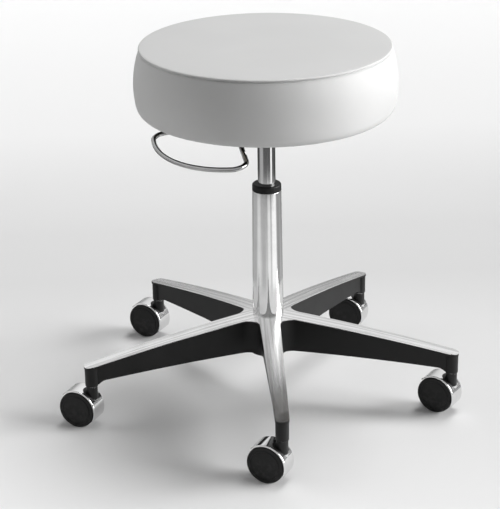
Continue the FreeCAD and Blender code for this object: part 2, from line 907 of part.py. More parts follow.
def screw_places():
    half = "pan_screw_pitch / 2"
    return [(x, y) for x in (half, f"-{half}") for y in (half, f"-{half}")]


def make_release_lever():
    body = new_body("lever_body")
    block = sketch_on(body, "XZ_Plane", "lever_block")
    low = "pivot_height - lever_block_height / 2"
    high = "pivot_height + lever_block_height / 2"
    back = "pivot_offset - lever_block_back"
    draw(block, rectangle(back, low, "lever_front", high, "lever_corner_radius"))
    pad(body, block, "lever_block_width", symmetric=True)
    finger = sketch_on(body, "XZ_Plane", "lever_finger")
    draw(finger, [
        ("-lever_finger_overrun", "finger_bottom"),
        (f"{back} - lever_thickness", "finger_bottom", "lever_corner_radius"),
        (back, "pivot_height"),
        ("lever_front - lever_thickness", "pivot_height"),
        ("pivot_offset", "finger_top", "lever_corner_radius"),
        ("-lever_finger_overrun", "finger_top"),
    ])
    pad(body, finger, "lever_finger_width", symmetric=True)
    pivot = sketch_on(body, "XZ_Plane", "lever_pivot")
    circle(pivot, "pivot_offset", "pivot_height", "pivot_diameter / 2 + running_fit")
    pocket(body, pivot, "2 * lever_block_width", symmetric=True)
    sockets = []
    for side in (1, -1):
        socket = cylinder(
            f"wire_socket_{side + 2}", "wire_diameter / 2 + press_fit", "2 * wire_socket_depth",
            "lever_front - wire_socket_depth * cos(wire_tilt)", f"{side} * wire_spacing / 2",
            "pivot_height + wire_socket_depth * sin(wire_tilt)",
        )
        socket.Placement.Rotation = FreeCAD.Rotation(FreeCAD.Vector(0, 1, 0), 90)
        bind(socket, "Placement.Rotation.Angle", "(90 + wire_tilt) * 1 deg")
        sockets.append(socket)
    lever = cut("release_lever", body, fuse("wire_sockets", sockets))
    keep(place(lever, heading="handle_heading"), "release_lever")


def handle_half():
    """Points of one half of the handle's centre line, in the wire's own plane from the lever's face."""
    tilt = math.radians(size("wire_tilt"))
    reach = (size("handle_reach") - size("lever_front")) / math.cos(tilt)
    radius = size("handle_arc_radius")
    centre = FreeCAD.Vector(reach - radius, 0, 0)
    half_width = size("handle_half_width")
    start = FreeCAD.Vector(-size("wire_socket_depth"), size("wire_spacing / 2"), 0)
    knee = FreeCAD.Vector(size("wire_lead"), size("wire_spacing / 2"), 0)
    corner = centre + FreeCAD.Vector(math.sqrt(radius ** 2 - half_width ** 2), half_width, 0)
    arm = (corner - knee).normalize()
    inward = FreeCAD.Vector(arm.y, -arm.x, 0)

    # Bend between the straight lead and the arm
    lead_end, arm_start, knee_centre = rounding(start, knee, corner, size("wire_lead_radius"))
    bisector = (knee - knee_centre).normalize()
    knee_middle = knee_centre + bisector * size("wire_lead_radius")

    # Corner arc, tangent to the arm and inside the outer arc
    corner_radius = size("handle_corner_radius")
    offset = knee + inward * corner_radius - centre
    along = -offset.dot(arm)
    along += math.sqrt((radius - corner_radius) ** 2 - offset.dot(offset) + offset.dot(arm) ** 2)
    corner_centre = centre + offset + arm * along
    arm_end = corner_centre - inward * corner_radius
    outward = (corner_centre - centre).normalize()
    arc_start = centre + outward * radius
    corner_middle = corner_centre + (outward - inward).normalize() * corner_radius
    top = centre + FreeCAD.Vector(radius, 0, 0)
    return start, lead_end, knee_middle, arm_start, arm_end, corner_middle, arc_start, top


def make_release_handle():
    upper = handle_half()
    lower = [FreeCAD.Vector(point.x, -point.y, 0) for point in upper]

    def half_edges(points):
        start, lead_end, knee, arm_start, arm_end, corner, arc_start, _ = points
        return [
            Part.LineSegment(start, lead_end).toShape(),
            Part.Arc(lead_end, knee, arm_start).toShape(),
            Part.LineSegment(arm_start, arm_end).toShape(),
            Part.Arc(arm_end, corner, arc_start).toShape(),
        ]

    front_arc = Part.Arc(upper[6], upper[7], lower[6]).toShape()
    edges = half_edges(upper) + [front_arc] + list(reversed(half_edges(lower)))
    path = doc.addObject("Part::Feature", "handle_path")
    path.Shape = Part.Wire(Part.sortEdges(edges)[0])
    section = doc.addObject("Part::Circle", "handle_section")
    bind(section, "Radius", "wire_diameter / 2")
    section.Placement = FreeCAD.Placement(upper[0], FreeCAD.Rotation(FreeCAD.Vector(0, 1, 0), 90))
    wire = doc.addObject("Part::Sweep", "release_handle")
    wire.Sections = [section]
    wire.Spine = (path, [f"Edge{number + 1}" for number in range(len(edges))])
    wire.Solid = True
    turn = FreeCAD.Rotation(AXIS_Z, size("handle_heading"))
    tilt = FreeCAD.Rotation(FreeCAD.Vector(0, 1, 0), size("wire_tilt"))
    socket = FreeCAD.Vector(size("lever_front"), 0, size("pivot_height"))
    wire.Placement = FreeCAD.Placement(turn.multVec(socket), turn.multiply(tilt))
    keep(wire, "release_handle")


# Seat


def cushion(inset):
    """Half section of the upholstered seat, drawn in by an inset on every side."""
    rim = f"(rim_radius - ({inset}))"
    crown_top = f"rim_height + seat_crown - ({inset})"
    seam = "rim_height - rim_roll"
    box_top = f"({seam} - seam_width)"
    widest = f"(seat_radius - ({inset}))"
    tuck_top = "(cover_bottom + tuck_height)"
    bottom = f"cover_bottom + ({inset})"
    tuck = f"(tuck_radius - ({inset}))"
    edge = f"({rim} - rim_roll)"
    return [
        ("0", bottom),
        (tuck, bottom),
        Bow(f"{widest} - tuck_inset - 0.22 * ({widest} - tuck_inset - {tuck})",
            f"{bottom} + 0.32 * (tuck_height - ({inset}))"),
        (f"{widest} - tuck_inset", tuck_top),
        Bow(widest, f"({tuck_top} + {box_top}) / 2"),
        (rim, box_top),
        (f"{rim} - seam_depth", f"{seam} - seam_width / 2"),
        (rim, seam),
        Bow(f"{rim} - 0.25 * rim_roll", f"rim_height - 0.3 * rim_roll - 0.3 * ({inset})"),
        (edge, f"rim_height - 0.6 * ({inset})"),
        Bow(f"({edge} + seat_flat_diameter / 2) / 2", f"rim_height + 0.72 * seat_crown - ({inset})"),
        ("seat_flat_diameter / 2", crown_top),
        ("0", crown_top),
    ]


def make_cushion():
    padded = turned("cushion_outside", cushion("0"))
    hollow = turned("cushion_inside", cushion("cover_thickness"))
    mouth = cylinder(
        "cover_mouth", "hem_radius", "2 * cover_thickness", z="cover_bottom - cover_thickness / 2",
    )
    keep(cut("seat_cover", padded, fuse("cover_cuts", [hollow, mouth])), "seat_cover")
    filling = turned("foam_block", cushion("cover_thickness + cloth_gap"))
    nest = cylinder(
        "board_nest", "board_radius + cloth_gap", "board_thickness + cloth_gap + cover_thickness",
        z="cover_bottom",
    )
    keep(cut("seat_foam", filling, nest), "seat_foam")
    keep(turned("dust_cover", ring(
        "dust_cover_opening / 2", "cover_bottom - dust_cover_thickness",
        "board_radius - dust_cover_margin", "cover_bottom",
    )), "dust_cover")


def make_seat_board():
    body = new_body("seat_board")
    plan = sketch_on(body, "XY_Plane", "board_plan", "seat_base")
    circle(plan, "0", "0", "board_radius")
    for x, y in screw_places():
        circle(plan, x, y, "nut_barrel_diameter / 2 + press_fit")
    pad(body, plan, "board_thickness")
    seats = sketch_on(body, "XY_Plane", "nut_seats", "board_top")
    for x, y in screw_places():
        circle(seats, x, y, "nut_flange_diameter / 2 + cloth_gap")
    pocket(body, seats, "nut_flange_thickness")
    keep(place(body, heading="handle_heading"), "seat_board")


def make_seat_screws():
    shank = "screw_diameter / 2"
    head_bottom = "seat_base - pan_thickness - screw_head_height"
    barrel = "nut_barrel_diameter / 2"
    screw = turned("plate_screw", [
        ("0", head_bottom),
        ("screw_head_diameter / 2", head_bottom, "screw_head_height / 2"),
        ("screw_head_diameter / 2", "seat_base - pan_thickness"),
        (shank, "seat_base - pan_thickness"),
        (shank, "board_top - nut_flange_thickness"),
        ("0", "board_top - nut_flange_thickness"),
    ])
    nut = turned("tee_nut", [
        (f"{shank} + press_fit", "seat_base"),
        (barrel, "seat_base"),
        (barrel, "board_top - nut_flange_thickness"),
        ("nut_flange_diameter / 2", "board_top - nut_flange_thickness"),
        ("nut_flange_diameter / 2", "board_top"),
        (f"{shank} + press_fit", "board_top"),
    ])
    for label, master in (("plate_screws", screw), ("tee_nuts", nut)):
        pieces = []
        for number, (x, y) in enumerate(screw_places(), start=1):
            pieces.append(copy(f"{label}_{number}", master, x, y))
        keep(place(gather(label, pieces), heading="handle_heading"), label)


# Casters


def stem_place(index):
    return polar("stem_circle_radius", leg_angle(index))


def make_stems():
    journal = "journal_diameter / 2"
    stem = "stem_diameter / 2"
    groove_top = "stem_top - grip_ring_drop"
    groove_bottom = f"({groove_top} - grip_height)"
    groove = f"{stem} - grip_groove_depth"
    pin = turned("caster_stem", [
        ("0", "boss_top - journal_length"),
        (journal, "boss_top - journal_length"),
        (journal, "boss_top + swivel_gap"),
        ("flange_diameter / 2", "boss_top + swivel_gap"),
        ("flange_diameter / 2", "socket_bottom"),
        (stem, "socket_bottom"),
        (stem, groove_bottom),
        (groove, groove_bottom),
        (groove, groove_top),
        (stem, groove_top),
        (stem, "stem_top - stem_chamfer"),
        (f"{stem} - stem_chamfer", "stem_top"),
        ("0", "stem_top"),
    ])
    grip = turned("grip_ring", ring(
        f"{groove} + press_fit", f"{groove_bottom} + press_fit",
        "socket_bore / 2 - press_fit", f"{groove_top} - press_fit",
    ), "360 - grip_ring_opening")
    for label, master in (("caster_stems", pin), ("stem_grip_rings", grip)):
        pieces = [copy(f"{leg}_{master.Name}", master, *stem_place(index)) for index, leg in enumerate(LEGS)]
        keep(gather(label, pieces), label)


def rim_edges(shape):
    """Names of the two outer arcs of a hood's sides."""
    names = []
    for number, edge in enumerate(shape.Edges, start=1):
        if isinstance(edge.Curve, Part.Circle) and abs(edge.Curve.Radius - size("hood_outer")) < 1e-4:
            names.append(f"Edge{number}")
    return names


def make_hood(name):
    """Die-cast hood: a shell over both wheels, a middle web for the axle and a boss for the stem."""
    body = new_body(name)
    side = sketch_on(body, "XZ_Plane", f"{name}_side")

    def on_hood(angle):
        return f"trail + hood_outer * cos({angle})", f"wheel_radius + hood_outer * sin({angle})"

    draw(side, [
        on_hood("hood_tail_angle"),
        Bow(*on_hood("(hood_tail_angle + hood_nose_angle) / 2")),
        on_hood("hood_nose_angle"),
        ("trail - web_foot", "wheel_radius - web_foot", "web_corner_radius"),
        ("trail + web_foot", "wheel_radius - web_foot", "web_corner_radius"),
    ])
    pad(body, side, "2 * hood_half", symmetric=True)
    boss = sketch_on(body, "XY_Plane", f"{name}_boss", "hood_shoulder - boss_root")
    circle(boss, "0", "0", "boss_diameter / 2")
    pad(body, boss, "boss_root + boss_rise")
    for label, offset, outwards in (("right", "caster_web / 2", True), ("left", "-caster_web / 2", False)):
        well = sketch_on(body, "XZ_Plane", f"{name}_well_{label}", offset)
        circle(well, "trail", "wheel_radius", "hood_inner")
        pocket(body, well, "hood_half", reverse=outwards)
    stem = sketch_on(body, "XY_Plane", f"{name}_stem_bore", "boss_top")
    circle(stem, "0", "0", "journal_diameter / 2 + running_fit")
    pocket(body, stem, "journal_length + journal_end_gap")
    axle = sketch_on(body, "XZ_Plane", f"{name}_axle_bore")
    circle(axle, "trail", "wheel_radius", "axle_diameter / 2 + press_fit")
    pocket(body, axle, "2 * caster_web", symmetric=True)
    cast = body.Tip
    edge = body.newObject("PartDesign::Fillet", f"{name}_edge")
    edge.Base = (cast, rim_edges(cast.Shape))
    bind(edge, "Radius", "hood_edge_radius")
    return body


def make_wheel(name, side):
    """Cup-shaped wheel, open towards the web, with a plain outer disc."""
    rim_inside = "wheel_radius - wheel_rim"
    bore = "axle_diameter / 2 + running_fit"
    hub = "wheel_hub_diameter / 2"
    disc = "wheel_width - wheel_disc"
    groove_inside = f"{rim_inside} - cap_groove_width"
    groove_floor = "wheel_width - cap_groove_depth"
    section = [
        (bore, "0"),
        (hub, "0"),
        (hub, disc),
        (rim_inside, disc),
        (rim_inside, "0"),
        ("wheel_radius", "0", "wheel_edge_radius"),
        ("wheel_radius", "wheel_width", "wheel_edge_radius"),
        (rim_inside, "wheel_width"),
        (rim_inside, groove_floor),
        (groove_inside, groove_floor),
        (groove_inside, "wheel_width"),
        ("0", "wheel_width"),
        ("0", "wheel_bore_depth"),
        (bore, "wheel_bore_depth"),
    ]
    steps = [(radius, f"{side} * (wheel_offset + {height})", *rest) for radius, height, *rest in section]
    return turned(name, steps, plane="XY_Plane")


def make_axle(name):
    radius = "axle_diameter / 2"
    return turned(name, [
        ("0", "-axle_half"),
        (f"{radius} - axle_chamfer", "-axle_half"),
        (radius, "axle_chamfer - axle_half"),
        (radius, "axle_half - axle_chamfer"),
        (f"{radius} - axle_chamfer", "axle_half"),
        ("0", "axle_half"),
    ], plane="XY_Plane")


def make_casters():
    hood = make_hood("hood")
    rolling = (make_axle("axle"), make_wheel("wheel_left", "1"), make_wheel("wheel_right", "-1"))
    for index, leg in enumerate(LEGS):
        heading = f"heading_{leg}"
        x, y = stem_place(index)
        keep(copy(f"{leg}_hood", hood, x, y, heading=heading), f"{leg}_hood")
        along, across = polar("trail", heading)
        for piece in rolling:
            label = f"{leg}_{piece.Name}"
            keep(copy(label, piece, f"{x} + {along}", f"{y} + {across}", "wheel_radius", heading), label)


for name in DERIVED:
    derived.addProperty("App::PropertyFloat", name)
for name, text in DERIVED.items():
    bind(derived, name, text)
doc.recompute()

make_base_casting()
make_column()
make_thrust_bearing()
make_rod()
make_gas_cylinder()
make_seat_pan()
make_release_lever()
make_release_handle()
make_cushion()
make_seat_board()
make_seat_screws()
make_stems()
make_casters()
doc.recompute()

for item in doc.Objects:
    if "Invalid" in item.State or "Error" in item.State:
        raise RuntimeError(f"{item.Label} failed: {item.State}")
for node in nodes:
    if node.Shape.isNull() or not node.Shape.isValid():
        raise RuntimeError(f"{node.Label} has no valid shape")

os.makedirs("parts", exist_ok=True)
for node in nodes:
    node.Shape.exportStep(f"parts/{node.Label}.step")
    print(f"{node.Label}: {len(node.Shape.Solids)} solids, {node.Shape.Volume / 1000:.2f} cm3")
print(f"{len(nodes)} sub-parts")
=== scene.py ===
import math

import bmesh
import bpy
from mathutils import Matrix, Vector, noise
from mathutils.bvhtree import BVHTree


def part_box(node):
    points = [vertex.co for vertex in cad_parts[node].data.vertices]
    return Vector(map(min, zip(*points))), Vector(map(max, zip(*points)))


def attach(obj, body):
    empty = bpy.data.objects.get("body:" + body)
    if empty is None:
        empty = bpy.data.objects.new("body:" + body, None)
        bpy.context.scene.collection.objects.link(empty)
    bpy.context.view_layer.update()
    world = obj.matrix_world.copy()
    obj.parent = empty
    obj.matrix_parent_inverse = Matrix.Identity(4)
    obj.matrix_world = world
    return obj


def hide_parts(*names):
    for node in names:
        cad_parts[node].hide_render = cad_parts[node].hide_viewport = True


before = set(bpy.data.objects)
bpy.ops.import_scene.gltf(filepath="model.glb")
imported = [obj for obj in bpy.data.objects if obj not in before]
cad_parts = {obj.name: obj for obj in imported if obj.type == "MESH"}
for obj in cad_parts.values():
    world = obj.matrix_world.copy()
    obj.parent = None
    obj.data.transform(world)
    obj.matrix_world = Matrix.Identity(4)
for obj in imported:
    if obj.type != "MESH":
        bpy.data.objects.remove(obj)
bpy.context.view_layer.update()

LEGS = ("front", "right", "back_right", "back_left", "left")

# Camera
VIEW_TARGET = Vector((-0.0278, 0.0015, 0.2489))
VIEW_TURN = math.radians(3.0)
VIEW_TILT = math.radians(21.82)
VIEW_ROLL = math.radians(-0.851)
VIEW_DISTANCE = 2.892
FOCAL_PIXELS = 1814.2
PICTURE_HEIGHT = 509
PICTURE_SHIFT = -2.3
SENSOR = 36

# Seat, in metres
COVER_LOW, COVER_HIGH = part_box("seat_cover")
BOARD_LOW, BOARD_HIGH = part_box("seat_board")
LINING_LOW, LINING_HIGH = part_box("dust_cover")
SEAT_RADIUS = COVER_HIGH.x
SEAT_BOTTOM = COVER_LOW.z
SEAT_TOP = COVER_HIGH.z
RIM_RADIUS = SEAT_RADIUS - 0.0092
RIM_HEIGHT = SEAT_TOP - 0.005
RIM_ROLL = 0.0022
SEAM_DEPTH = 0.0032
SEAM_WIDTH = 0.0042
TUCK_HEIGHT = 0.017
TUCK_INSET = 0.0026
HEM_WIDTH = 0.022
NEST_GAP = 0.0006
CROWN_FLAT_RADIUS = 0.060
BOARD_RADIUS = BOARD_HIGH.x
TUCK_RADIUS = BOARD_RADIUS + 0.0012
HEM_RADIUS = BOARD_RADIUS - HEM_WIDTH
SEAM_HEIGHT = RIM_HEIGHT - RIM_ROLL
BOX_TOP = SEAM_HEIGHT - SEAM_WIDTH
TUCK_TOP = SEAT_BOTTOM + TUCK_HEIGHT
BOX_SEAM_ANGLE = math.radians(96)

# Base, in metres
HUB_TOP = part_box("base_casting")[1].z
LEG_RISE = 0.042
LEG_BOW = 0.003
HUB_FLAT_RADIUS = 0.028
PLATE_REACH = 0.31525
LIP_EDGE = 0.0012
BUFFED_CROWN = 1.4
CROWN_START = 0.06
CROWN_FULL = 0.14
TOP_FACING = 0.6
BUFFING_ALONG = 5.0
BUFFING_ACROSS = 170.0
LIP_END_RADIUS = 0.300

# Casters, in metres
STEM_CIRCLE_RADIUS = 0.300
NECK_RADIUS = 0.0145
NECK_FOOT = 0.048

# Cover pattern that the filling blows up, its lengths in metres
PATTERN_STEPS = 120
PATTERN_SLACK = 0.004
PATTERN_MESH = 0.005
SEWN_REACH = 0.006
FILLING_PRESSURE = 4
SWELL_LIMIT = 0.005
SWELL_FRAMES = 20
SIDE_SWELL_SHARE = 0.6
TOP_SWELL_SHARE = 0.35

# Sewn seat: its mesh, and how uneven it is in metres
CUSHION_STEPS = 240
HEM_ROUNDING = 5
HAIR = 0.0001
SEAM_HOLD = 0.004
SEAM_EASE = 0.03
SEAM_PULL = 0.012
RIPPLE_SCALE = 14
PLEAT_SCALE = 26
RIPPLE_HEIGHT = 0.0006
SIDE_WAVE_HEIGHT = 0.0007
TOP_WAVE_HEIGHT = 0.0004
TOP_RIPPLE_HEIGHT = 0.0003
PLEAT_HEIGHT = 0.0009
SIDE_EDGE = 0.012
SIDE_EASE = 0.02
SIDE_CLEARANCE = 0.004
BOX_SEAM_DEPTH = 0.0014
BOX_SEAM_HALF_WIDTH = 0.0012
BOX_SEAM_STEPS = (-0.002, -0.0012, -0.0005, 0.0, 0.0005, 0.0012, 0.002)

# Lining and staples, in metres
LINING_ROWS = 10
LINING_STEPS = 220
LINING_INNER_RADIUS = 0.118
LINING_THICKNESS = 0.0004
LINING_DROP = 0.0002
PUCKER_HEIGHT = 0.0005
PUCKER_REACH = 0.0012
SLACK_HEIGHT = 0.0004
STAPLE_COUNT = 44
STAPLE_INSET = 0.006
STAPLE_WIRE_RADIUS = 0.00045
STAPLE_PATH = (
    (-0.005, 0.0014), (-0.005, -0.0002), (-0.0042, -0.0006),
    (0.0042, -0.0006), (0.005, -0.0002), (0.005, 0.0014),
)

# Finishes: depth of fine relief in metres; streaks that are even, along the column, or round a turning
FINE_DEPTH = 0.0002
CASTING_RELIEF = 0.000016
DUST_COLOUR = (0.30, 0.30, 0.30, 1.0)
EVEN = (900.0, 900.0, 900.0)
UPRIGHT = (1400.0, 1400.0, 60.0)
ROUND = (90.0, 90.0, 1600.0)

# Studio: lengths in metres, grey levels of the floor by depth, which paint in the sweep's light and shade,
# and of the sky by height
FLOOR_REACH = 30
FLOOR_PAINTED_LIGHT = ((-0.5, 0.80), (0.05, 0.75), (0.5, 0.66), (0.75, 0.68), (1.4, 0.86), (2.7, 0.98))
SKY_TONES = ((0.0, 0.34), (0.14, 0.42), (0.34, 0.83), (0.5, 0.96), (0.62, 1.0), (0.74, 0.42), (1.0, 0.5))
BOUNCE_SHARE = 0.42
BOUNCE_LEVEL = 0.30
FRONT_LEVEL = 0.30
BACKDROP_LEVEL = 0.9
AMBIENT_LEVEL = 0.13
SURROUND_RINGS = (0.5, 0.62, 0.75, 0.9, 1.1, 1.6, 3.0)
SURROUND_STEPS = 72
SURROUND_HEIGHT = 0.001
SURROUND_LEVEL = 0.11
NEAR_END = 0.98
FAR_START = 1.10

# Studio cards, painted reflections that only the metal sees: turn from the camera's line, half width and
# fade in degrees, grey level, place on the floor
STUDIO_CARDS = (
    (-108, 14, 12, 0.52, "near"),
    (-66, 7, 10, 0.86, "near"),
    (-27, 7, 12, 0.56, "near"),
    (14, 5, 9, 1.05, "near"),
    (54, 14, 9, 1.25, "near"),
    (95, 10, 10, 0.40, "near"),
    (-70, 18, 15, 0.44, "far"),
    (62, 8, 6, 1.25, "far"),
)


# Nodes of materials


def add(tree, kind, sockets=None, **settings):
    """A new node with its settings, and with each socket linked or set."""
    made = tree.nodes.new(kind)
    for name, value in settings.items():
        setattr(made, name, value)
    for socket, value in (sockets or {}).items():
        if isinstance(value, bpy.types.NodeSocket):
            tree.links.new(value, made.inputs[socket])
        else:
            made.inputs[socket].default_value = value
    return made


def math_node(tree, operation, *values):
    """Result of one sum on values that are linked or set."""
    return add(tree, "ShaderNodeMath", dict(enumerate(values)), operation=operation).outputs[0]


def blend_colours(tree, factor, first, second):
    mix = add(tree, "ShaderNodeMix", {0: factor, 6: first, 7: second}, data_type="RGBA")
    return mix.outputs[2]


def blend_values(tree, factor, first, second):
    mix = add(tree, "ShaderNodeMix", {0: factor, 2: first, 3: second}, data_type="FLOAT")
    return mix.outputs[0]


def spread(tree, value, low, high, start=0.0, end=1.0):
    """Map a value between two limits smoothly to a new range."""
    ranged = add(tree, "ShaderNodeMapRange", {
        "Value": value, "From Min": low, "From Max": high, "To Min": start, "To Max": end,
    }, interpolation_type="SMOOTHSTEP")
    return ranged.outputs["Result"]


def grey(level):
    return (level, level, level, 1.0)


def tone_ramp(tree, value, tones):
    """Grey of a value that runs through (place, level) stops."""
    first, last = tones[0][0], tones[-1][0]
    share = add(tree, "ShaderNodeMapRange", {"Value": value, "From Min": first, "From Max": last})
    ramp = add(tree, "ShaderNodeValToRGB", {0: share.outputs["Result"]})
    stops = ramp.color_ramp.elements
    for number, (place, level) in enumerate(tones):
        at = (place - first) / (last - first)
        stop = stops[number] if number < 2 else stops.new(at)
        stop.position = at
        stop.color = grey(level)
    return ramp.outputs["Color"]


def effect(name, inputs, outputs):
    """An empty shader group with its sockets, its input node and its output node."""
    group = bpy.data.node_groups.new(name, "ShaderNodeTree")
    for label, (kind, value) in inputs.items():
        socket = group.interface.new_socket(label, in_out="INPUT", socket_type=kind)
        socket.default_value = value
    for label, kind in outputs.items():
        group.interface.new_socket(label, in_out="OUTPUT", socket_type=kind)
    return group, group.nodes.new("NodeGroupInput").outputs, group.nodes.new("NodeGroupOutput")


def place_effect(tree, group, **values):
    """Outputs of a shader group put into a material, its inputs named with underscores."""
    made = tree.nodes.new("ShaderNodeGroup")
    made.node_tree = group
    for label, value in values.items():
        socket = made.inputs[label.replace("_", " ").capitalize()]
        if isinstance(value, bpy.types.NodeSocket):
            tree.links.new(value, socket)
        else:
            socket.default_value = value
    return made.outputs


FLOAT, VECTOR = "NodeSocketFloat", "NodeSocketVector"


def make_polish():
    """Fine streaks and haze of a buffed metal face."""
    group, given, out = effect("buffed_metal", {
        "Streak scale": (VECTOR, EVEN),
        "Haze scale": (FLOAT, 18.0),
        "Bright": (FLOAT, 0.05),
        "Dull": (FLOAT, 0.15),
    }, {"Roughness": FLOAT, "Height": FLOAT, "Haze": FLOAT})
    place = add(group, "ShaderNodeTexCoord").outputs["Object"]
    stretched = add(group, "ShaderNodeMapping", {"Vector": place, "Scale": given["Streak scale"]})
    streaks = add(group, "ShaderNodeTexNoise", {
        "Vector": stretched.outputs[0], "Scale": 1.0, "Detail": 3.0,
    }).outputs[0]
    haze = add(group, "ShaderNodeTexNoise", {
        "Vector": place, "Scale": given["Haze scale"], "Detail": 4.0, "Roughness": 0.6,
    }).outputs[0]
    soft = spread(group, haze, 0.35, 0.7)
    both = math_node(group, "MULTIPLY_ADD", streaks, 0.45, math_node(group, "MULTIPLY", soft, 0.55))
    group.links.new(blend_values(group, both, given["Bright"], given["Dull"]), out.inputs["Roughness"])
    group.links.new(streaks, out.inputs["Height"])
    group.links.new(soft, out.inputs["Haze"])
    return group


def make_grain():
    """Pebbled grain of pressed vinyl and of textured mouldings."""
    group, given, out = effect("pebbled_grain", {
        "Cell scale": (FLOAT, 900.0),
        "Drift scale": (FLOAT, 9.0),
        "Bright": (FLOAT, 0.35),
        "Dull": (FLOAT, 0.5),
    }, {"Roughness": FLOAT, "Height": FLOAT, "Drift": FLOAT})
    place = add(group, "ShaderNodeTexCoord").outputs["Object"]
    cells = add(group, "ShaderNodeTexVoronoi", {"Vector": place, "Scale": given["Cell scale"]},
                feature="SMOOTH_F1").outputs["Distance"]
    fine = add(group, "ShaderNodeTexNoise", {
        "Vector": place, "Scale": given["Cell scale"], "Detail": 2.0,
    }).outputs[0]
    height = math_node(group, "MULTIPLY_ADD", fine, 0.5, cells)
    drift = add(group, "ShaderNodeTexNoise", {
        "Vector": place, "Scale": given["Drift scale"], "Detail": 5.0, "Roughness": 0.55,
    }).outputs[0]
    even = spread(group, drift, 0.3, 0.7)
    group.links.new(blend_values(group, even, given["Bright"], given["Dull"]), out.inputs["Roughness"])
    group.links.new(height, out.inputs["Height"])
    group.links.new(even, out.inputs["Drift"])
    return group


def make_dust():
    """Floor dust that thins out with height."""
    group, given, out = effect("floor_dust", {
        "Reach": (FLOAT, 0.05),
        "Amount": (FLOAT, 0.3),
    }, {"Mask": FLOAT})
    place = add(group, "ShaderNodeTexCoord").outputs["Object"]
    height = add(group, "ShaderNodeSeparateXYZ", {0: place}).outputs["Z"]
    low = math_node(group, "SUBTRACT", 1.0, spread(group, height, 0.0, given["Reach"]))
    specks = add(group, "ShaderNodeTexNoise", {"Vector": place, "Scale": 140.0, "Detail": 6.0}).outputs[0]
    patches = spread(group, specks, 0.42, 0.66)
    mask = math_node(group, "MULTIPLY", math_node(group, "MULTIPLY", low, patches), given["Amount"])
    group.links.new(mask, out.inputs["Mask"])
    return group


POLISH = make_polish()
GRAIN = make_grain()
DUST = make_dust()


def finish_named(name, metallic=0.0, specular=0.5):
    """A material with its shader, the sockets that stay the same all over it set."""
    material = bpy.data.materials.new(name)
    material.use_nodes = True
    tree = material.node_tree
    shader = tree.nodes["Principled BSDF"]
    shader.inputs["Metallic"].default_value = metallic
    shader.inputs["Specular IOR Level"].default_value = specular
    return material, tree, shader


def raise_surface(tree, shader, height, strength, distance):
    """Fine relief of a surface, from a height."""
    bump = add(tree, "ShaderNodeBump", {"Height": height, "Strength": strength, "Distance": distance})
    tree.links.new(bump.outputs[0], shader.inputs["Normal"])


def metal_finish(name, bright, dull, colour, shade, streaks):
    """Bare or plated metal with its streaks and haze."""
    material, tree, shader = finish_named(name, metallic=1.0)
    marks = place_effect(tree, POLISH, streak_scale=streaks, bright=bright, dull=dull)
    tree.links.new(blend_colours(tree, marks["Haze"], colour, shade), shader.inputs["Base Color"])
    tree.links.new(marks["Roughness"], shader.inputs["Roughness"])
    raise_surface(tree, shader, marks["Height"], 0.05, FINE_DEPTH)
    return material


def moulded_finish(name, colour, shade, cells, bright, dull, dust=0.0, depth=FINE_DEPTH, specular=0.5):
    """Moulded plastic, rubber or foam, with floor dust on it where it stands low."""
    material, tree, shader = finish_named(name, specular=specular)
    grain = place_effect(tree, GRAIN, cell_scale=cells, drift_scale=30.0, bright=bright, dull=dull)
    tint = blend_colours(tree, grain["Drift"], colour, shade)
    rough = grain["Roughness"]
    if dust:
        mask = place_effect(tree, DUST, reach=0.055, amount=dust)["Mask"]
        tint = blend_colours(tree, mask, tint, DUST_COLOUR)
        rough = blend_values(tree, mask, rough, 0.8)
    tree.links.new(tint, shader.inputs["Base Color"])
    tree.links.new(rough, shader.inputs["Roughness"])
    raise_surface(tree, shader, grain["Height"], 0.2, depth)
    return material


def vinyl_finish():
    """Pale grey upholstery vinyl with a fine pressed grain."""
    material, tree, shader = finish_named("grey_vinyl", specular=0.3)
    grain = place_effect(tree, GRAIN, cell_scale=1300.0, drift_scale=7.0, bright=0.50, dull=0.60)
    tint = blend_colours(tree, grain["Drift"], (0.575, 0.575, 0.572, 1.0), (0.60, 0.60, 0.597, 1.0))
    tree.links.new(tint, shader.inputs["Base Color"])
    tree.links.new(grain["Roughness"], shader.inputs["Roughness"])
    raise_surface(tree, shader, grain["Height"], 0.12, FINE_DEPTH)
    return material


def leg_place(tree, axes):
    """Distance from the column's axis, and the way along the nearest leg and off its middle line."""
    across = add(tree, "ShaderNodeCombineXYZ", {"X": axes["X"], "Y": axes["Y"]}).outputs[0]
    radius = add(tree, "ShaderNodeVectorMath", {0: across}, operation="LENGTH").outputs["Value"]
    heading = math_node(tree, "ADD", math_node(tree, "ARCTAN2", axes["Y"], axes["X"]), math.pi / 2)
    half = math.pi / len(LEGS)
    sector = math_node(tree, "WRAP", heading, half, -half)
    along = math_node(tree, "MULTIPLY", radius, math_node(tree, "COSINE", sector))
    aside = math_node(tree, "MULTIPLY", radius, math_node(tree, "SINE", sector))
    return radius, along, aside


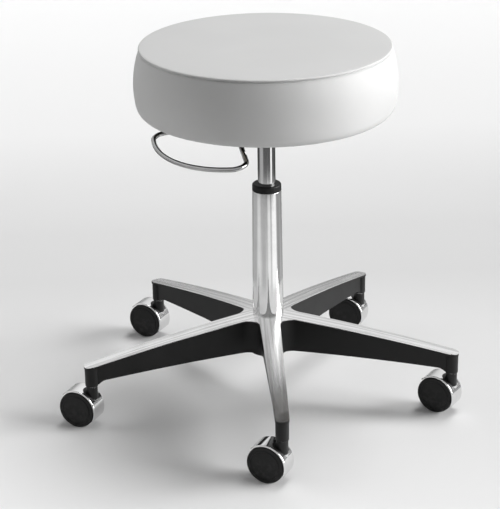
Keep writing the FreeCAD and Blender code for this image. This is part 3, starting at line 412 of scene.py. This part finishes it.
def base_finish():
    """Cast base: buffed top plate and lip, black paint on the recessed sides and below."""
    material, tree, shader = finish_named("buffed_and_painted_casting", specular=0.3)
    place = add(tree, "ShaderNodeTexCoord").outputs["Object"]
    axes = add(tree, "ShaderNodeSeparateXYZ", {0: place}).outputs
    radius, along, aside = leg_place(tree, axes)
    share = math_node(tree, "DIVIDE", math_node(tree, "SUBTRACT", radius, HUB_FLAT_RADIUS),
                      PLATE_REACH - HUB_FLAT_RADIUS)
    run = math_node(tree, "MAXIMUM", share, 0.0)
    bow = math_node(tree, "MULTIPLY", math_node(tree, "SUBTRACT", 1.0, run), 4 * LEG_BOW)
    fall = math_node(tree, "MULTIPLY", run, math_node(tree, "SUBTRACT", LEG_RISE, bow))
    edge_under = math_node(tree, "SUBTRACT", HUB_TOP - LIP_EDGE, fall)
    in_plate = math_node(tree, "GREATER_THAN", axes["Z"], edge_under)
    facing = add(tree, "ShaderNodeNewGeometry").outputs["True Normal"]
    upward = add(tree, "ShaderNodeSeparateXYZ", {0: facing}).outputs["Z"]
    on_top = math_node(tree, "GREATER_THAN", upward, TOP_FACING)
    before_tip = math_node(tree, "LESS_THAN", radius, LIP_END_RADIUS)
    polished = math_node(tree, "MULTIPLY", in_plate, math_node(tree, "MAXIMUM", on_top, before_tip))
    marks = place_effect(tree, POLISH, streak_scale=(700.0, 700.0, 700.0), haze_scale=22.0,
                         bright=0.16, dull=0.30)
    grain = place_effect(tree, GRAIN, cell_scale=1500.0, drift_scale=25.0, bright=0.42, dull=0.5)
    lengthwise = add(tree, "ShaderNodeCombineXYZ", {
        "X": math_node(tree, "MULTIPLY", along, BUFFING_ALONG),
        "Y": math_node(tree, "MULTIPLY", aside, BUFFING_ACROSS),
    }).outputs[0]
    buffing = add(tree, "ShaderNodeTexNoise", {
        "Vector": lengthwise, "Scale": 1.0, "Detail": 3.0,
    }).outputs[0]
    dulled = blend_colours(tree, marks["Haze"], grey(0.64), grey(0.58))
    metal = blend_colours(tree, spread(tree, buffing, 0.36, 0.64), dulled, grey(0.82))
    paint = blend_colours(tree, grain["Drift"], grey(0.004), grey(0.007))
    tree.links.new(blend_colours(tree, polished, paint, metal), shader.inputs["Base Color"])
    rough = blend_values(tree, polished, grain["Roughness"], marks["Roughness"])
    tree.links.new(rough, shader.inputs["Roughness"])
    tree.links.new(polished, shader.inputs["Metallic"])
    relief = blend_values(tree, polished, grain["Height"], marks["Height"])
    fine = math_node(tree, "MULTIPLY", relief, CASTING_RELIEF)
    crowned = math_node(tree, "MULTIPLY", math_node(tree, "MULTIPLY", aside, aside),
                        spread(tree, radius, CROWN_START, CROWN_FULL, 0.0, -BUFFED_CROWN))
    raise_surface(tree, shader, math_node(tree, "MULTIPLY_ADD", crowned, on_top, fine), 1.0, 1.0)
    return material


def hood_finish():
    """Chromed caster hood, coloured black and not metal on its neck and round the neck's foot."""
    material, tree, shader = finish_named("chrome_hood", specular=0.35)
    place = add(tree, "ShaderNodeTexCoord").outputs["Object"]
    axes = add(tree, "ShaderNodeSeparateXYZ", {0: place}).outputs
    _, along, aside = leg_place(tree, axes)
    beyond = math_node(tree, "SUBTRACT", along, STEM_CIRCLE_RADIUS)
    offset = add(tree, "ShaderNodeCombineXYZ", {"X": beyond, "Y": aside}).outputs[0]
    from_stem = add(tree, "ShaderNodeVectorMath", {0: offset}, operation="LENGTH").outputs["Value"]
    # Within NECK_RADIUS of the stem and above NECK_FOOT the hood is coloured black and not metal.
    neck = math_node(tree, "MULTIPLY", math_node(tree, "LESS_THAN", from_stem, NECK_RADIUS),
                     math_node(tree, "GREATER_THAN", axes["Z"], NECK_FOOT))
    marks = place_effect(tree, POLISH, streak_scale=EVEN, bright=0.06, dull=0.14)
    grain = place_effect(tree, GRAIN, cell_scale=1500.0, drift_scale=30.0, bright=0.4, dull=0.5)
    chrome = blend_colours(tree, marks["Haze"], grey(0.78), grey(0.70))
    black_neck = blend_colours(tree, grain["Drift"], grey(0.004), grey(0.007))
    tree.links.new(blend_colours(tree, neck, chrome, black_neck), shader.inputs["Base Color"])
    rough = blend_values(tree, neck, marks["Roughness"], grain["Roughness"])
    tree.links.new(rough, shader.inputs["Roughness"])
    tree.links.new(math_node(tree, "SUBTRACT", 1.0, neck), shader.inputs["Metallic"])
    raise_surface(tree, shader, blend_values(tree, neck, marks["Height"], grain["Height"]), 0.05, FINE_DEPTH)
    return material


def plywood_finish():
    """Birch plywood with rotary-cut figure on its face."""
    material, tree, shader = finish_named("birch_plywood", specular=0.35)
    place = add(tree, "ShaderNodeTexCoord").outputs["Object"]
    drawn = add(tree, "ShaderNodeMapping", {"Vector": place, "Scale": (6.0, 60.0, 60.0)}).outputs[0]
    figure = add(tree, "ShaderNodeTexNoise", {
        "Vector": drawn, "Scale": 1.6, "Detail": 6.0, "Distortion": 0.8,
    }).outputs[0]
    pores = add(tree, "ShaderNodeMapping", {"Vector": place, "Scale": (60.0, 900.0, 900.0)}).outputs[0]
    pore = add(tree, "ShaderNodeTexNoise", {"Vector": pores, "Scale": 1.0, "Detail": 2.0}).outputs[0]
    early_wood, late_wood = (0.54, 0.49, 0.42, 1.0), (0.41, 0.37, 0.31, 1.0)
    tint = blend_colours(tree, spread(tree, figure, 0.3, 0.7), early_wood, late_wood)
    tree.links.new(tint, shader.inputs["Base Color"])
    tree.links.new(spread(tree, pore, 0.2, 0.8, 0.55, 0.75), shader.inputs["Roughness"])
    raise_surface(tree, shader, pore, 0.2, 0.0003)
    return material


def lining_finish():
    """Thin black spun lining with a pressed dot weave."""
    material, tree, shader = finish_named("black_lining", specular=0.2)
    place = add(tree, "ShaderNodeTexCoord").outputs["Object"]
    threads = [
        add(tree, "ShaderNodeTexWave", {"Vector": place, "Scale": 260.0, "Distortion": 0.6, "Detail": 1.0},
            bands_direction=axis).outputs["Fac"]
        for axis in ("X", "Y")
    ]
    weave = math_node(tree, "MULTIPLY", *threads)
    tree.links.new(blend_colours(tree, weave, grey(0.012), grey(0.035)), shader.inputs["Base Color"])
    tree.links.new(blend_values(tree, weave, 0.95, 0.8), shader.inputs["Roughness"])
    raise_surface(tree, shader, weave, 0.4, 0.0003)
    return material


VINYL = vinyl_finish()
LINING = lining_finish()
STAPLE_STEEL = metal_finish("staple_wire", 0.25, 0.45, grey(0.55), grey(0.42), EVEN)

FINISHES = {
    base_finish(): ["base_casting"],
    metal_finish("chrome_tube", 0.07, 0.14, grey(0.76), grey(0.71), UPRIGHT):
        ["column_tube", "gas_cylinder"],
    # Painted shade: the wire's chrome is coloured darker than the column's, standing in for the dark
    # reflections on it.
    metal_finish("darkened_chrome_wire", 0.04, 0.10, grey(0.46), grey(0.40), EVEN): ["release_handle"],
    hood_finish(): [f"{leg}_hood" for leg in LEGS],
    moulded_finish("black_collar", grey(0.005), grey(0.008), 1800.0, 0.45, 0.55, specular=0.25):
        ["guide_bush"],
    moulded_finish("wheel_nylon", grey(0.004), grey(0.006), 1500.0, 0.42, 0.48, dust=0.06, specular=0.3):
        [f"{leg}_wheel_{side}" for leg in LEGS for side in ("left", "right")],
    metal_finish("dark_pressed_steel", 0.35, 0.5, grey(0.045), grey(0.03), EVEN):
        ["seat_pan", "release_lever", "taper_hub"],
    metal_finish("ground_steel", 0.12, 0.25, grey(0.62), grey(0.54), ROUND): [
        "piston_rod", "piston", "bearing_upper_race", "bearing_lower_race", "thrust_balls",
        "column_end_plate", "rod_washer", "rod_clip", "plate_screws", "tee_nuts", "lever_pivot_pin",
        "rod_guide", "valve_pin", "caster_stems", "stem_grip_rings", *[f"{leg}_axle" for leg in LEGS],
    ],
    metal_finish("yellow_brass", 0.2, 0.35, (0.60, 0.42, 0.16, 1.0), (0.50, 0.34, 0.12, 1.0), ROUND):
        ["ball_cage", "valve_body"],
    moulded_finish("black_rubber", grey(0.014), grey(0.024), 700.0, 0.7, 0.85, specular=0.25):
        ["bumper", "piston_seal", "rod_seal"],
    plywood_finish(): ["seat_board"],
    VINYL: ["seat_cover"],
    moulded_finish("cream_foam", (0.66, 0.60, 0.46, 1.0), (0.60, 0.53, 0.40, 1.0), 600.0, 0.9, 1.0,
                   depth=0.0008): ["seat_foam"],
    LINING: ["dust_cover"],
}
for material, names in FINISHES.items():
    for name in names:
        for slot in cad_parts[name].material_slots:
            slot.material = material


# Seat cushion


def bent_between(start, through, end, count):
    """Points of the arc from one corner of a section through a point to the next, without the first."""
    (ax, ay), (bx, by), (cx, cy) = start, through, end
    scale = 2 * (ax * (by - cy) + bx * (cy - ay) + cx * (ay - by))
    squares = [x * x + y * y for x, y in (start, through, end)]
    mx = (squares[0] * (by - cy) + squares[1] * (cy - ay) + squares[2] * (ay - by)) / scale
    my = (squares[0] * (cx - bx) + squares[1] * (ax - cx) + squares[2] * (bx - ax)) / scale
    reach = math.hypot(ax - mx, ay - my)
    first = math.atan2(ay - my, ax - mx)
    turn = math.atan2(cy - my, cx - mx) - first
    middle = math.atan2(by - my, bx - mx) - first
    if scale > 0:
        turn, middle = turn % math.tau, middle % math.tau
    else:
        turn, middle = -(-turn % math.tau), -(-middle % math.tau)
    angles = [first + turn * step / count for step in range(1, count + 1)]
    return [(mx + reach * math.cos(a), my + reach * math.sin(a)) for a in angles]


def seat_section(slack=0.0):
    """Half section of the sewn seat as (radius, height), from its nest for the board to the top's middle."""
    nest = BOARD_RADIUS + NEST_GAP
    low = SEAT_BOTTOM
    tuck = (TUCK_RADIUS - 0.002, low)
    swell_start = (SEAT_RADIUS - TUCK_INSET - slack, TUCK_TOP)
    box_top = (RIM_RADIUS, BOX_TOP)
    edge = (RIM_RADIUS - RIM_ROLL, RIM_HEIGHT)
    crown = (CROWN_FLAT_RADIUS, SEAT_TOP - slack)
    points = [
        (0.0, BOARD_HIGH.z + NEST_GAP),
        (nest * 0.5, BOARD_HIGH.z + NEST_GAP),
        (nest, BOARD_HIGH.z + NEST_GAP),
        (nest, BOARD_LOW.z),
        (HEM_RADIUS, BOARD_LOW.z),
        (HEM_RADIUS, low),
    ]
    points += [(HEM_RADIUS + (tuck[0] - HEM_RADIUS) * step / 4, low) for step in range(1, 5)]
    lead = swell_start[0] - 0.22 * (swell_start[0] - tuck[0])
    points += bent_between(tuck, (lead, low + 0.32 * TUCK_HEIGHT), swell_start, 7)
    points += bent_between(swell_start, (SEAT_RADIUS - slack, (TUCK_TOP + BOX_TOP) / 2), box_top, 18)
    first = points.index(tuck) - 1
    for _ in range(HEM_ROUNDING):
        points[first + 1:-1] = [
            ((back[0] + 2 * here[0] + ahead[0]) / 4, (back[1] + 2 * here[1] + ahead[1]) / 4)
            for back, here, ahead in zip(points[first:], points[first + 1:], points[first + 2:])
        ]
    points += [
        (RIM_RADIUS - 0.25 * SEAM_DEPTH, BOX_TOP + 0.25 * SEAM_WIDTH),
        (RIM_RADIUS - SEAM_DEPTH, SEAM_HEIGHT - 0.5 * SEAM_WIDTH),
        (RIM_RADIUS - 0.85 * SEAM_DEPTH, SEAM_HEIGHT - 0.3 * SEAM_WIDTH),
        (RIM_RADIUS - 0.12 * SEAM_DEPTH, SEAM_HEIGHT - 0.1 * SEAM_WIDTH),
        (RIM_RADIUS, SEAM_HEIGHT),
    ]
    roll = (RIM_RADIUS - 0.25 * RIM_ROLL, RIM_HEIGHT - 0.3 * RIM_ROLL)
    points += bent_between((RIM_RADIUS, SEAM_HEIGHT), roll, edge, 4)
    shoulder = ((edge[0] + CROWN_FLAT_RADIUS) / 2, RIM_HEIGHT + 0.72 * (SEAT_TOP - RIM_HEIGHT) - slack)
    points += bent_between(edge, shoulder, crown, 18)
    points += [(CROWN_FLAT_RADIUS * share, SEAT_TOP - slack) for share in (0.75, 0.5, 0.25, 0.0)]
    return points


def spin_section(name, section, angles):
    """A closed mesh object made by turning a half section about the upright axis."""
    mesh = bmesh.new()
    rings = []
    for radius, height in section:
        if radius < 1e-6:
            rings.append([mesh.verts.new((0.0, 0.0, height))])
        else:
            rings.append([
                mesh.verts.new((radius * math.cos(a), radius * math.sin(a), height)) for a in angles
            ])
    count = len(angles)
    for lower, upper in zip(rings, rings[1:]):
        for place in range(count):
            after = (place + 1) % count
            corners = [lower[place % len(lower)], lower[after % len(lower)],
                       upper[after % len(upper)], upper[place % len(upper)]]
            mesh.faces.new(list(dict.fromkeys(corners)))
    bmesh.ops.recalc_face_normals(mesh, faces=mesh.faces)
    return mesh_object(name, mesh)


def mesh_object(name, mesh):
    """A smooth-shaded object in the scene, made from a finished mesh."""
    data = bpy.data.meshes.new(name)
    mesh.to_mesh(data)
    mesh.free()
    data.shade_smooth()
    made = bpy.data.objects.new(name, data)
    bpy.context.scene.collection.objects.link(made)
    return made


def swollen_cover():
    """The cover blown up by its filling between the rim seam and the board, as a tree to measure from."""
    even_angles = [math.tau * step / PATTERN_STEPS for step in range(PATTERN_STEPS)]
    cover = spin_section("cover_pattern", seat_section(slack=PATTERN_SLACK), even_angles)
    weave = cover.modifiers.new("weave", "REMESH")
    weave.mode = "VOXEL"
    weave.voxel_size = PATTERN_MESH
    bpy.context.view_layer.update()
    woven = bpy.data.meshes.new_from_object(cover.evaluated_get(bpy.context.evaluated_depsgraph_get()))
    cover.modifiers.clear()
    cover.data = woven
    sewn = cover.vertex_groups.new(name="sewn")
    for vertex in woven.vertices:
        radius = math.hypot(vertex.co.x, vertex.co.y)
        to_seam = math.hypot(radius - RIM_RADIUS, vertex.co.z - SEAM_HEIGHT)
        on_board = vertex.co.z < BOARD_HIGH.z + SEWN_REACH and radius < BOARD_RADIUS + SEWN_REACH
        if to_seam < SEWN_REACH or on_board:
            sewn.add([vertex.index], 1.0, "REPLACE")
    cloth = cover.modifiers.new("filling", "CLOTH")
    cloth.settings.quality = 5
    cloth.settings.mass = 0.3
    cloth.settings.tension_stiffness = 25
    cloth.settings.compression_stiffness = 25
    cloth.settings.shear_stiffness = 10
    cloth.settings.bending_stiffness = 2
    cloth.settings.vertex_group_mass = "sewn"
    cloth.settings.use_pressure = True
    cloth.settings.uniform_pressure_force = FILLING_PRESSURE
    cloth.settings.effector_weights.gravity = 0
    cloth.point_cache.frame_start = 1
    cloth.point_cache.frame_end = SWELL_FRAMES
    scene = bpy.context.scene
    for step in range(1, SWELL_FRAMES + 1):
        scene.frame_set(step)
    grown = cover.evaluated_get(bpy.context.evaluated_depsgraph_get()).to_mesh()
    places = []
    for start, end in zip(woven.vertices, grown.vertices):
        move = end.co - start.co
        if move.length > SWELL_LIMIT:
            move *= SWELL_LIMIT / move.length
        places.append(start.co + move)
    tree = BVHTree.FromPolygons(places, [list(face.vertices) for face in woven.polygons])
    scene.frame_set(1)
    bpy.data.objects.remove(cover)
    return tree


def make_cushion():
    """The seat's upholstery: flat crowned top, rolled rim seam, full side, pleated hem under the board."""
    angles = [math.tau * step / CUSHION_STEPS for step in range(CUSHION_STEPS)]
    angles += [BOX_SEAM_ANGLE + offset / SEAT_RADIUS for offset in BOX_SEAM_STEPS]
    angles.sort()
    section = seat_section()
    cushion = spin_section("seat_cushion", section, angles)
    form = swollen_cover()
    for vertex in cushion.data.vertices:
        place = vertex.co
        radius = math.hypot(place.x, place.y)
        if radius < 1e-6:
            outward, turn = Vector((0, 0, 0)), 0.0
        else:
            outward, turn = Vector((place.x / radius, place.y / radius, 0)), math.atan2(place.y, place.x)
        to_seam = math.hypot(radius - RIM_RADIUS, place.z - (SEAM_HEIGHT - SEAM_WIDTH / 2))
        free = max(0.0, min(1.0, (to_seam - SEAM_HOLD) / SEAM_EASE))
        free = free * free * (3 - 2 * free)
        beside_board = radius > BOARD_RADIUS + SIDE_CLEARANCE
        on_side = TUCK_TOP - SIDE_EDGE < place.z < BOX_TOP + HAIR and beside_board
        on_top = place.z > RIM_HEIGHT - HAIR
        pull = math.exp(-to_seam / SEAM_PULL)
        if on_side:
            rise = min(1.0, max(0.0, (place.z - TUCK_TOP + SIDE_EDGE) / SIDE_EASE))
            if form:
                hit = form.ray_cast(Vector((0, 0, place.z)) + outward * 0.15, outward)[0]
                if hit:
                    swell = max(0.0, math.hypot(hit.x, hit.y) - radius)
                    place += outward * swell * free * rise * SIDE_SWELL_SHARE
            ripple = noise.noise(Vector((outward.x * RIPPLE_SCALE, outward.y * RIPPLE_SCALE, place.z * 40)))
            wave = noise.noise(Vector((outward.x * 2.2, outward.y * 2.2, place.z * 6)))
            place += outward * (RIPPLE_HEIGHT * ripple * pull + SIDE_WAVE_HEIGHT * wave * free)
            off_seam = abs((turn - BOX_SEAM_ANGLE + math.pi) % math.tau - math.pi) * SEAT_RADIUS
            place -= outward * BOX_SEAM_DEPTH * max(0.0, 1 - off_seam / BOX_SEAM_HALF_WIDTH)
        elif on_top:
            if form:
                hit = form.ray_cast(Vector((place.x, place.y, SEAT_TOP - 0.05)), Vector((0, 0, 1)))[0]
                if hit:
                    place.z += (hit.z - place.z) * free * TOP_SWELL_SHARE
            wave = noise.noise(Vector((place.x * 9, place.y * 9, 0.4)))
            ripple = noise.noise(Vector((outward.x * RIPPLE_SCALE, outward.y * RIPPLE_SCALE, 3.7)))
            place.z += TOP_WAVE_HEIGHT * wave * free + TOP_RIPPLE_HEIGHT * ripple * pull
        elif place.z < SEAT_BOTTOM + HAIR and radius > HEM_RADIUS + 0.001:
            pleat = noise.noise(Vector((outward.x * PLEAT_SCALE, outward.y * PLEAT_SCALE, 1.3)))
            place.z += PLEAT_HEIGHT * max(0.0, pleat)
    cushion.data.materials.append(VINYL)
    smooth = cushion.modifiers.new("smooth", "SUBSURF")
    smooth.levels = 1
    smooth.render_levels = 1
    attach(cushion, "seat")
    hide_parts("seat_cover", "seat_foam")


def make_lining():
    """Thin lining pulled over the hem and the board, slightly puckered between its staples."""
    inner = LINING_INNER_RADIUS
    outer = LINING_HIGH.x
    mesh = bmesh.new()
    rings = []
    for row in range(LINING_ROWS + 1):
        share = row / LINING_ROWS
        radius = inner + (outer - inner) * share
        ring = []
        for step in range(LINING_STEPS):
            a = math.tau * step / LINING_STEPS
            pucker = math.cos(a * STAPLE_COUNT) * PUCKER_HEIGHT * share ** 3
            slack = noise.noise(Vector((math.cos(a) * 5, math.sin(a) * 5, share * 2))) * SLACK_HEIGHT
            reach = radius - PUCKER_REACH * share * math.cos(a * STAPLE_COUNT) ** 2
            height = LINING_LOW.z - LINING_DROP + pucker + slack
            ring.append(mesh.verts.new((reach * math.cos(a), reach * math.sin(a), height)))
        rings.append(ring)
    for lower, upper in zip(rings, rings[1:]):
        for step in range(LINING_STEPS):
            after = (step + 1) % LINING_STEPS
            mesh.faces.new((lower[step], lower[after], upper[after], upper[step]))
    bmesh.ops.recalc_face_normals(mesh, faces=mesh.faces)
    lining = mesh_object("seat_lining", mesh)
    lining.data.materials.append(LINING)
    thick = lining.modifiers.new("cloth", "SOLIDIFY")
    thick.thickness = LINING_THICKNESS
    thick.offset = 0.0
    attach(lining, "seat")
    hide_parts("dust_cover")


def make_staples():
    """Round-wire staples along the lining's edge."""
    curve = bpy.data.curves.new("lining_staples", "CURVE")
    curve.dimensions = "3D"
    curve.bevel_depth = STAPLE_WIRE_RADIUS
    curve.bevel_resolution = 2
    radius = LINING_HIGH.x - STAPLE_INSET
    for number in range(STAPLE_COUNT):
        a = math.tau * (number + 0.5) / STAPLE_COUNT
        lean = math.radians(9) * noise.noise(Vector((number * 1.7, 0.2, 0.9)))
        along = Vector((-math.sin(a + lean), math.cos(a + lean), 0))
        middle = Vector((radius * math.cos(a), radius * math.sin(a), LINING_LOW.z - LINING_DROP))
        spline = curve.splines.new("POLY")
        spline.points.add(len(STAPLE_PATH) - 1)
        for point, (side, up) in zip(spline.points, STAPLE_PATH):
            point.co = (*(middle + along * side + Vector((0, 0, up))), 1)
    staples = bpy.data.objects.new("lining_staples", curve)
    bpy.context.scene.collection.objects.link(staples)
    curve.materials.append(STAPLE_STEEL)
    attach(staples, "seat")


# Studio


def make_floor():
    """Pale sweep with its light and shade painted in: light grey near the stool, white further back."""
    mesh = bmesh.new()
    bmesh.ops.create_grid(mesh, x_segments=12, y_segments=12, size=FLOOR_REACH)
    floor = mesh_object("studio_floor", mesh)
    material, tree, shader = finish_named("pale_floor", specular=0.25)
    place = add(tree, "ShaderNodeTexCoord").outputs["Object"]
    depth = add(tree, "ShaderNodeSeparateXYZ", {0: place}).outputs["Y"]
    rays = add(tree, "ShaderNodeLightPath").outputs
    # Painted shade: bounce light sees the floor darker, so less light bounces up onto the stool.
    bounce = math_node(tree, "MULTIPLY", rays["Is Diffuse Ray"], BOUNCE_SHARE)
    # Painted light: the floor's grey by depth stands in for the sweep's light, darker near the stool and
    # brighter further back.
    tint = blend_colours(tree, bounce, tone_ramp(tree, depth, FLOOR_PAINTED_LIGHT), grey(BOUNCE_LEVEL))
    tree.links.new(tint, shader.inputs["Base Color"])
    shader.inputs["Roughness"].default_value = 0.6
    floor.data.materials.append(material)


def sun_from(name, turn, height, level, softness):
    """A soft lamp at a turn from the camera's line, to its right, and a height, both in degrees."""
    lamp = bpy.data.lights.new(name, "SUN")
    lamp.energy = level * math.pi
    lamp.angle = math.radians(softness)
    holder = bpy.data.objects.new(name, lamp)
    bpy.context.scene.collection.objects.link(holder)
    a, e = math.radians(turn) - VIEW_TURN, math.radians(height)
    towards = Vector((math.sin(a) * math.cos(e), -math.cos(a) * math.cos(e), math.sin(e)))
    holder.rotation_mode = "QUATERNION"
    holder.rotation_quaternion = towards.to_track_quat("Z", "Y")
    holder.location = towards * 3
    return holder


def make_lights():
    """Three lamps, a plain room for the camera, and a room with dark and light zones for the metal."""
    sun_from("key", turn=87, height=18, level=1.48, softness=44)
    fill = sun_from("fill", turn=-104, height=26, level=0.27, softness=50)
    fill.visible_glossy = False
    sun_from("top", turn=140, height=69, level=0.40, softness=24)
    world = bpy.data.worlds.new("studio")
    bpy.context.scene.world = world
    world.use_nodes = True
    tree = world.node_tree
    tree.nodes.clear()
    rays = add(tree, "ShaderNodeLightPath").outputs
    direct = math_node(tree, "MAXIMUM", rays["Is Camera Ray"], rays["Is Transmission Ray"])
    seen = math_node(tree, "MAXIMUM", direct, rays["Is Glossy Ray"])
    aim = add(tree, "ShaderNodeTexCoord").outputs["Generated"]
    away = add(tree, "ShaderNodeSeparateXYZ", {0: aim}).outputs
    height = away["Z"]
    front = spread(tree, math_node(tree, "MULTIPLY", away["Y"], -1.0), 0.4, 0.85)
    unlit = math_node(tree, "MULTIPLY", front, spread(tree, height, 0.35, 0.5, 1.0, 0.0))
    room = blend_colours(tree, unlit, tone_ramp(tree, height, SKY_TONES), grey(FRONT_LEVEL))
    studio = blend_colours(tree, rays["Is Glossy Ray"], grey(BACKDROP_LEVEL), room)
    shine = add(tree, "ShaderNodeBackground", {"Color": studio, "Strength": 1.0}).outputs[0]
    ambient = add(tree, "ShaderNodeBackground", {"Color": grey(1.0), "Strength": AMBIENT_LEVEL}).outputs[0]
    mixed = add(tree, "ShaderNodeMixShader", {0: seen, 1: ambient, 2: shine}).outputs[0]
    add(tree, "ShaderNodeOutputWorld", {"Surface": mixed})


def make_reflection_field():
    """Glowing floor surround with studio cards that only the polished metal sees: painted reflections, as
    round a studio sweep.
    """
    mesh = bmesh.new()
    rings = []
    turns = [math.tau * step / SURROUND_STEPS for step in range(SURROUND_STEPS)]
    for radius in SURROUND_RINGS:
        rings.append([
            mesh.verts.new((radius * math.cos(a), radius * math.sin(a), SURROUND_HEIGHT)) for a in turns
        ])
    for inner, outer in zip(rings, rings[1:]):
        for step in range(SURROUND_STEPS):
            after = (step + 1) % SURROUND_STEPS
            mesh.faces.new((inner[step], outer[step], outer[after], inner[after]))
    field = mesh_object("studio_surround", mesh)
    material = bpy.data.materials.new("studio_surround")
    material.use_nodes = True
    tree = material.node_tree
    tree.nodes.clear()
    place = add(tree, "ShaderNodeTexCoord").outputs["Object"]
    flat = add(tree, "ShaderNodeVectorMath", {
        0: place, 1: (1.0, 1.0, 0.0),
    }, operation="MULTIPLY").outputs[0]
    radius = add(tree, "ShaderNodeVectorMath", {0: flat}, operation="LENGTH").outputs["Value"]
    aim = add(tree, "ShaderNodeVectorMath", {0: flat}, operation="NORMALIZE").outputs[0]

    def card(degrees, half_width, fade):
        """Mask of a studio card that stands at a turn from the camera's line, to its right, in degrees."""
        turn = math.radians(degrees) - VIEW_TURN
        facing = add(tree, "ShaderNodeVectorMath", {0: aim, 1: (math.sin(turn), -math.cos(turn), 0.0)},
                     operation="DOT_PRODUCT").outputs["Value"]
        edge, full = math.radians(half_width + fade), math.radians(half_width)
        return spread(tree, facing, math.cos(edge), math.cos(full))

    outside = spread(tree, radius, NEAR_END, FAR_START)
    floor_sheen = spread(tree, radius, 0.55, 0.95, 0.74, 0.58)
    level = blend_values(tree, outside, floor_sheen, SURROUND_LEVEL)
    # Painted reflection: the surround glows darker behind the stool.
    behind_stool = card(180, 40, 45)
    level = blend_values(tree, behind_stool, level, math_node(tree, "MULTIPLY", level, 0.6))
    inside = math_node(tree, "SUBTRACT", 1.0, outside)
    zones = {"near": inside, "far": outside}
    for degrees, half_width, fade, brightness, zone in STUDIO_CARDS:
        held = math_node(tree, "MULTIPLY", card(degrees, half_width, fade), zones[zone])
        level = blend_values(tree, held, level, brightness)
    shine = add(tree, "ShaderNodeEmission", {"Strength": level}).outputs[0]
    add(tree, "ShaderNodeOutputMaterial", {"Surface": shine})
    field.data.materials.append(material)
    field.visible_camera = False
    field.visible_diffuse = False
    field.visible_shadow = False
    field.visible_transmission = False


def make_camera():
    """The camera at the photograph's viewing angle."""
    data = bpy.data.cameras.new("photo_view")
    data.sensor_fit = "AUTO"
    data.sensor_width = SENSOR
    data.lens = FOCAL_PIXELS * SENSOR / PICTURE_HEIGHT
    data.shift_y = PICTURE_SHIFT / PICTURE_HEIGHT
    data.clip_start = 0.05
    data.clip_end = 100
    camera = bpy.data.objects.new("photo_view", data)
    bpy.context.scene.collection.objects.link(camera)
    forward = Vector((math.sin(VIEW_TURN) * math.cos(VIEW_TILT), math.cos(VIEW_TURN) * math.cos(VIEW_TILT),
                      -math.sin(VIEW_TILT)))
    level = forward.cross(Vector((0, 0, 1))).normalized()
    rise = level.cross(forward)
    right = level * math.cos(VIEW_ROLL) + rise * math.sin(VIEW_ROLL)
    up = rise * math.cos(VIEW_ROLL) - level * math.sin(VIEW_ROLL)
    axes = Matrix((right, up, -forward)).transposed()
    camera.matrix_world = Matrix.Translation(VIEW_TARGET - forward * VIEW_DISTANCE) @ axes.to_4x4()
    bpy.context.scene.camera = camera


make_cushion()
make_lining()
make_staples()
make_floor()
make_lights()
make_reflection_field()
make_camera()
bpy.context.scene.view_settings.view_transform = "Standard"
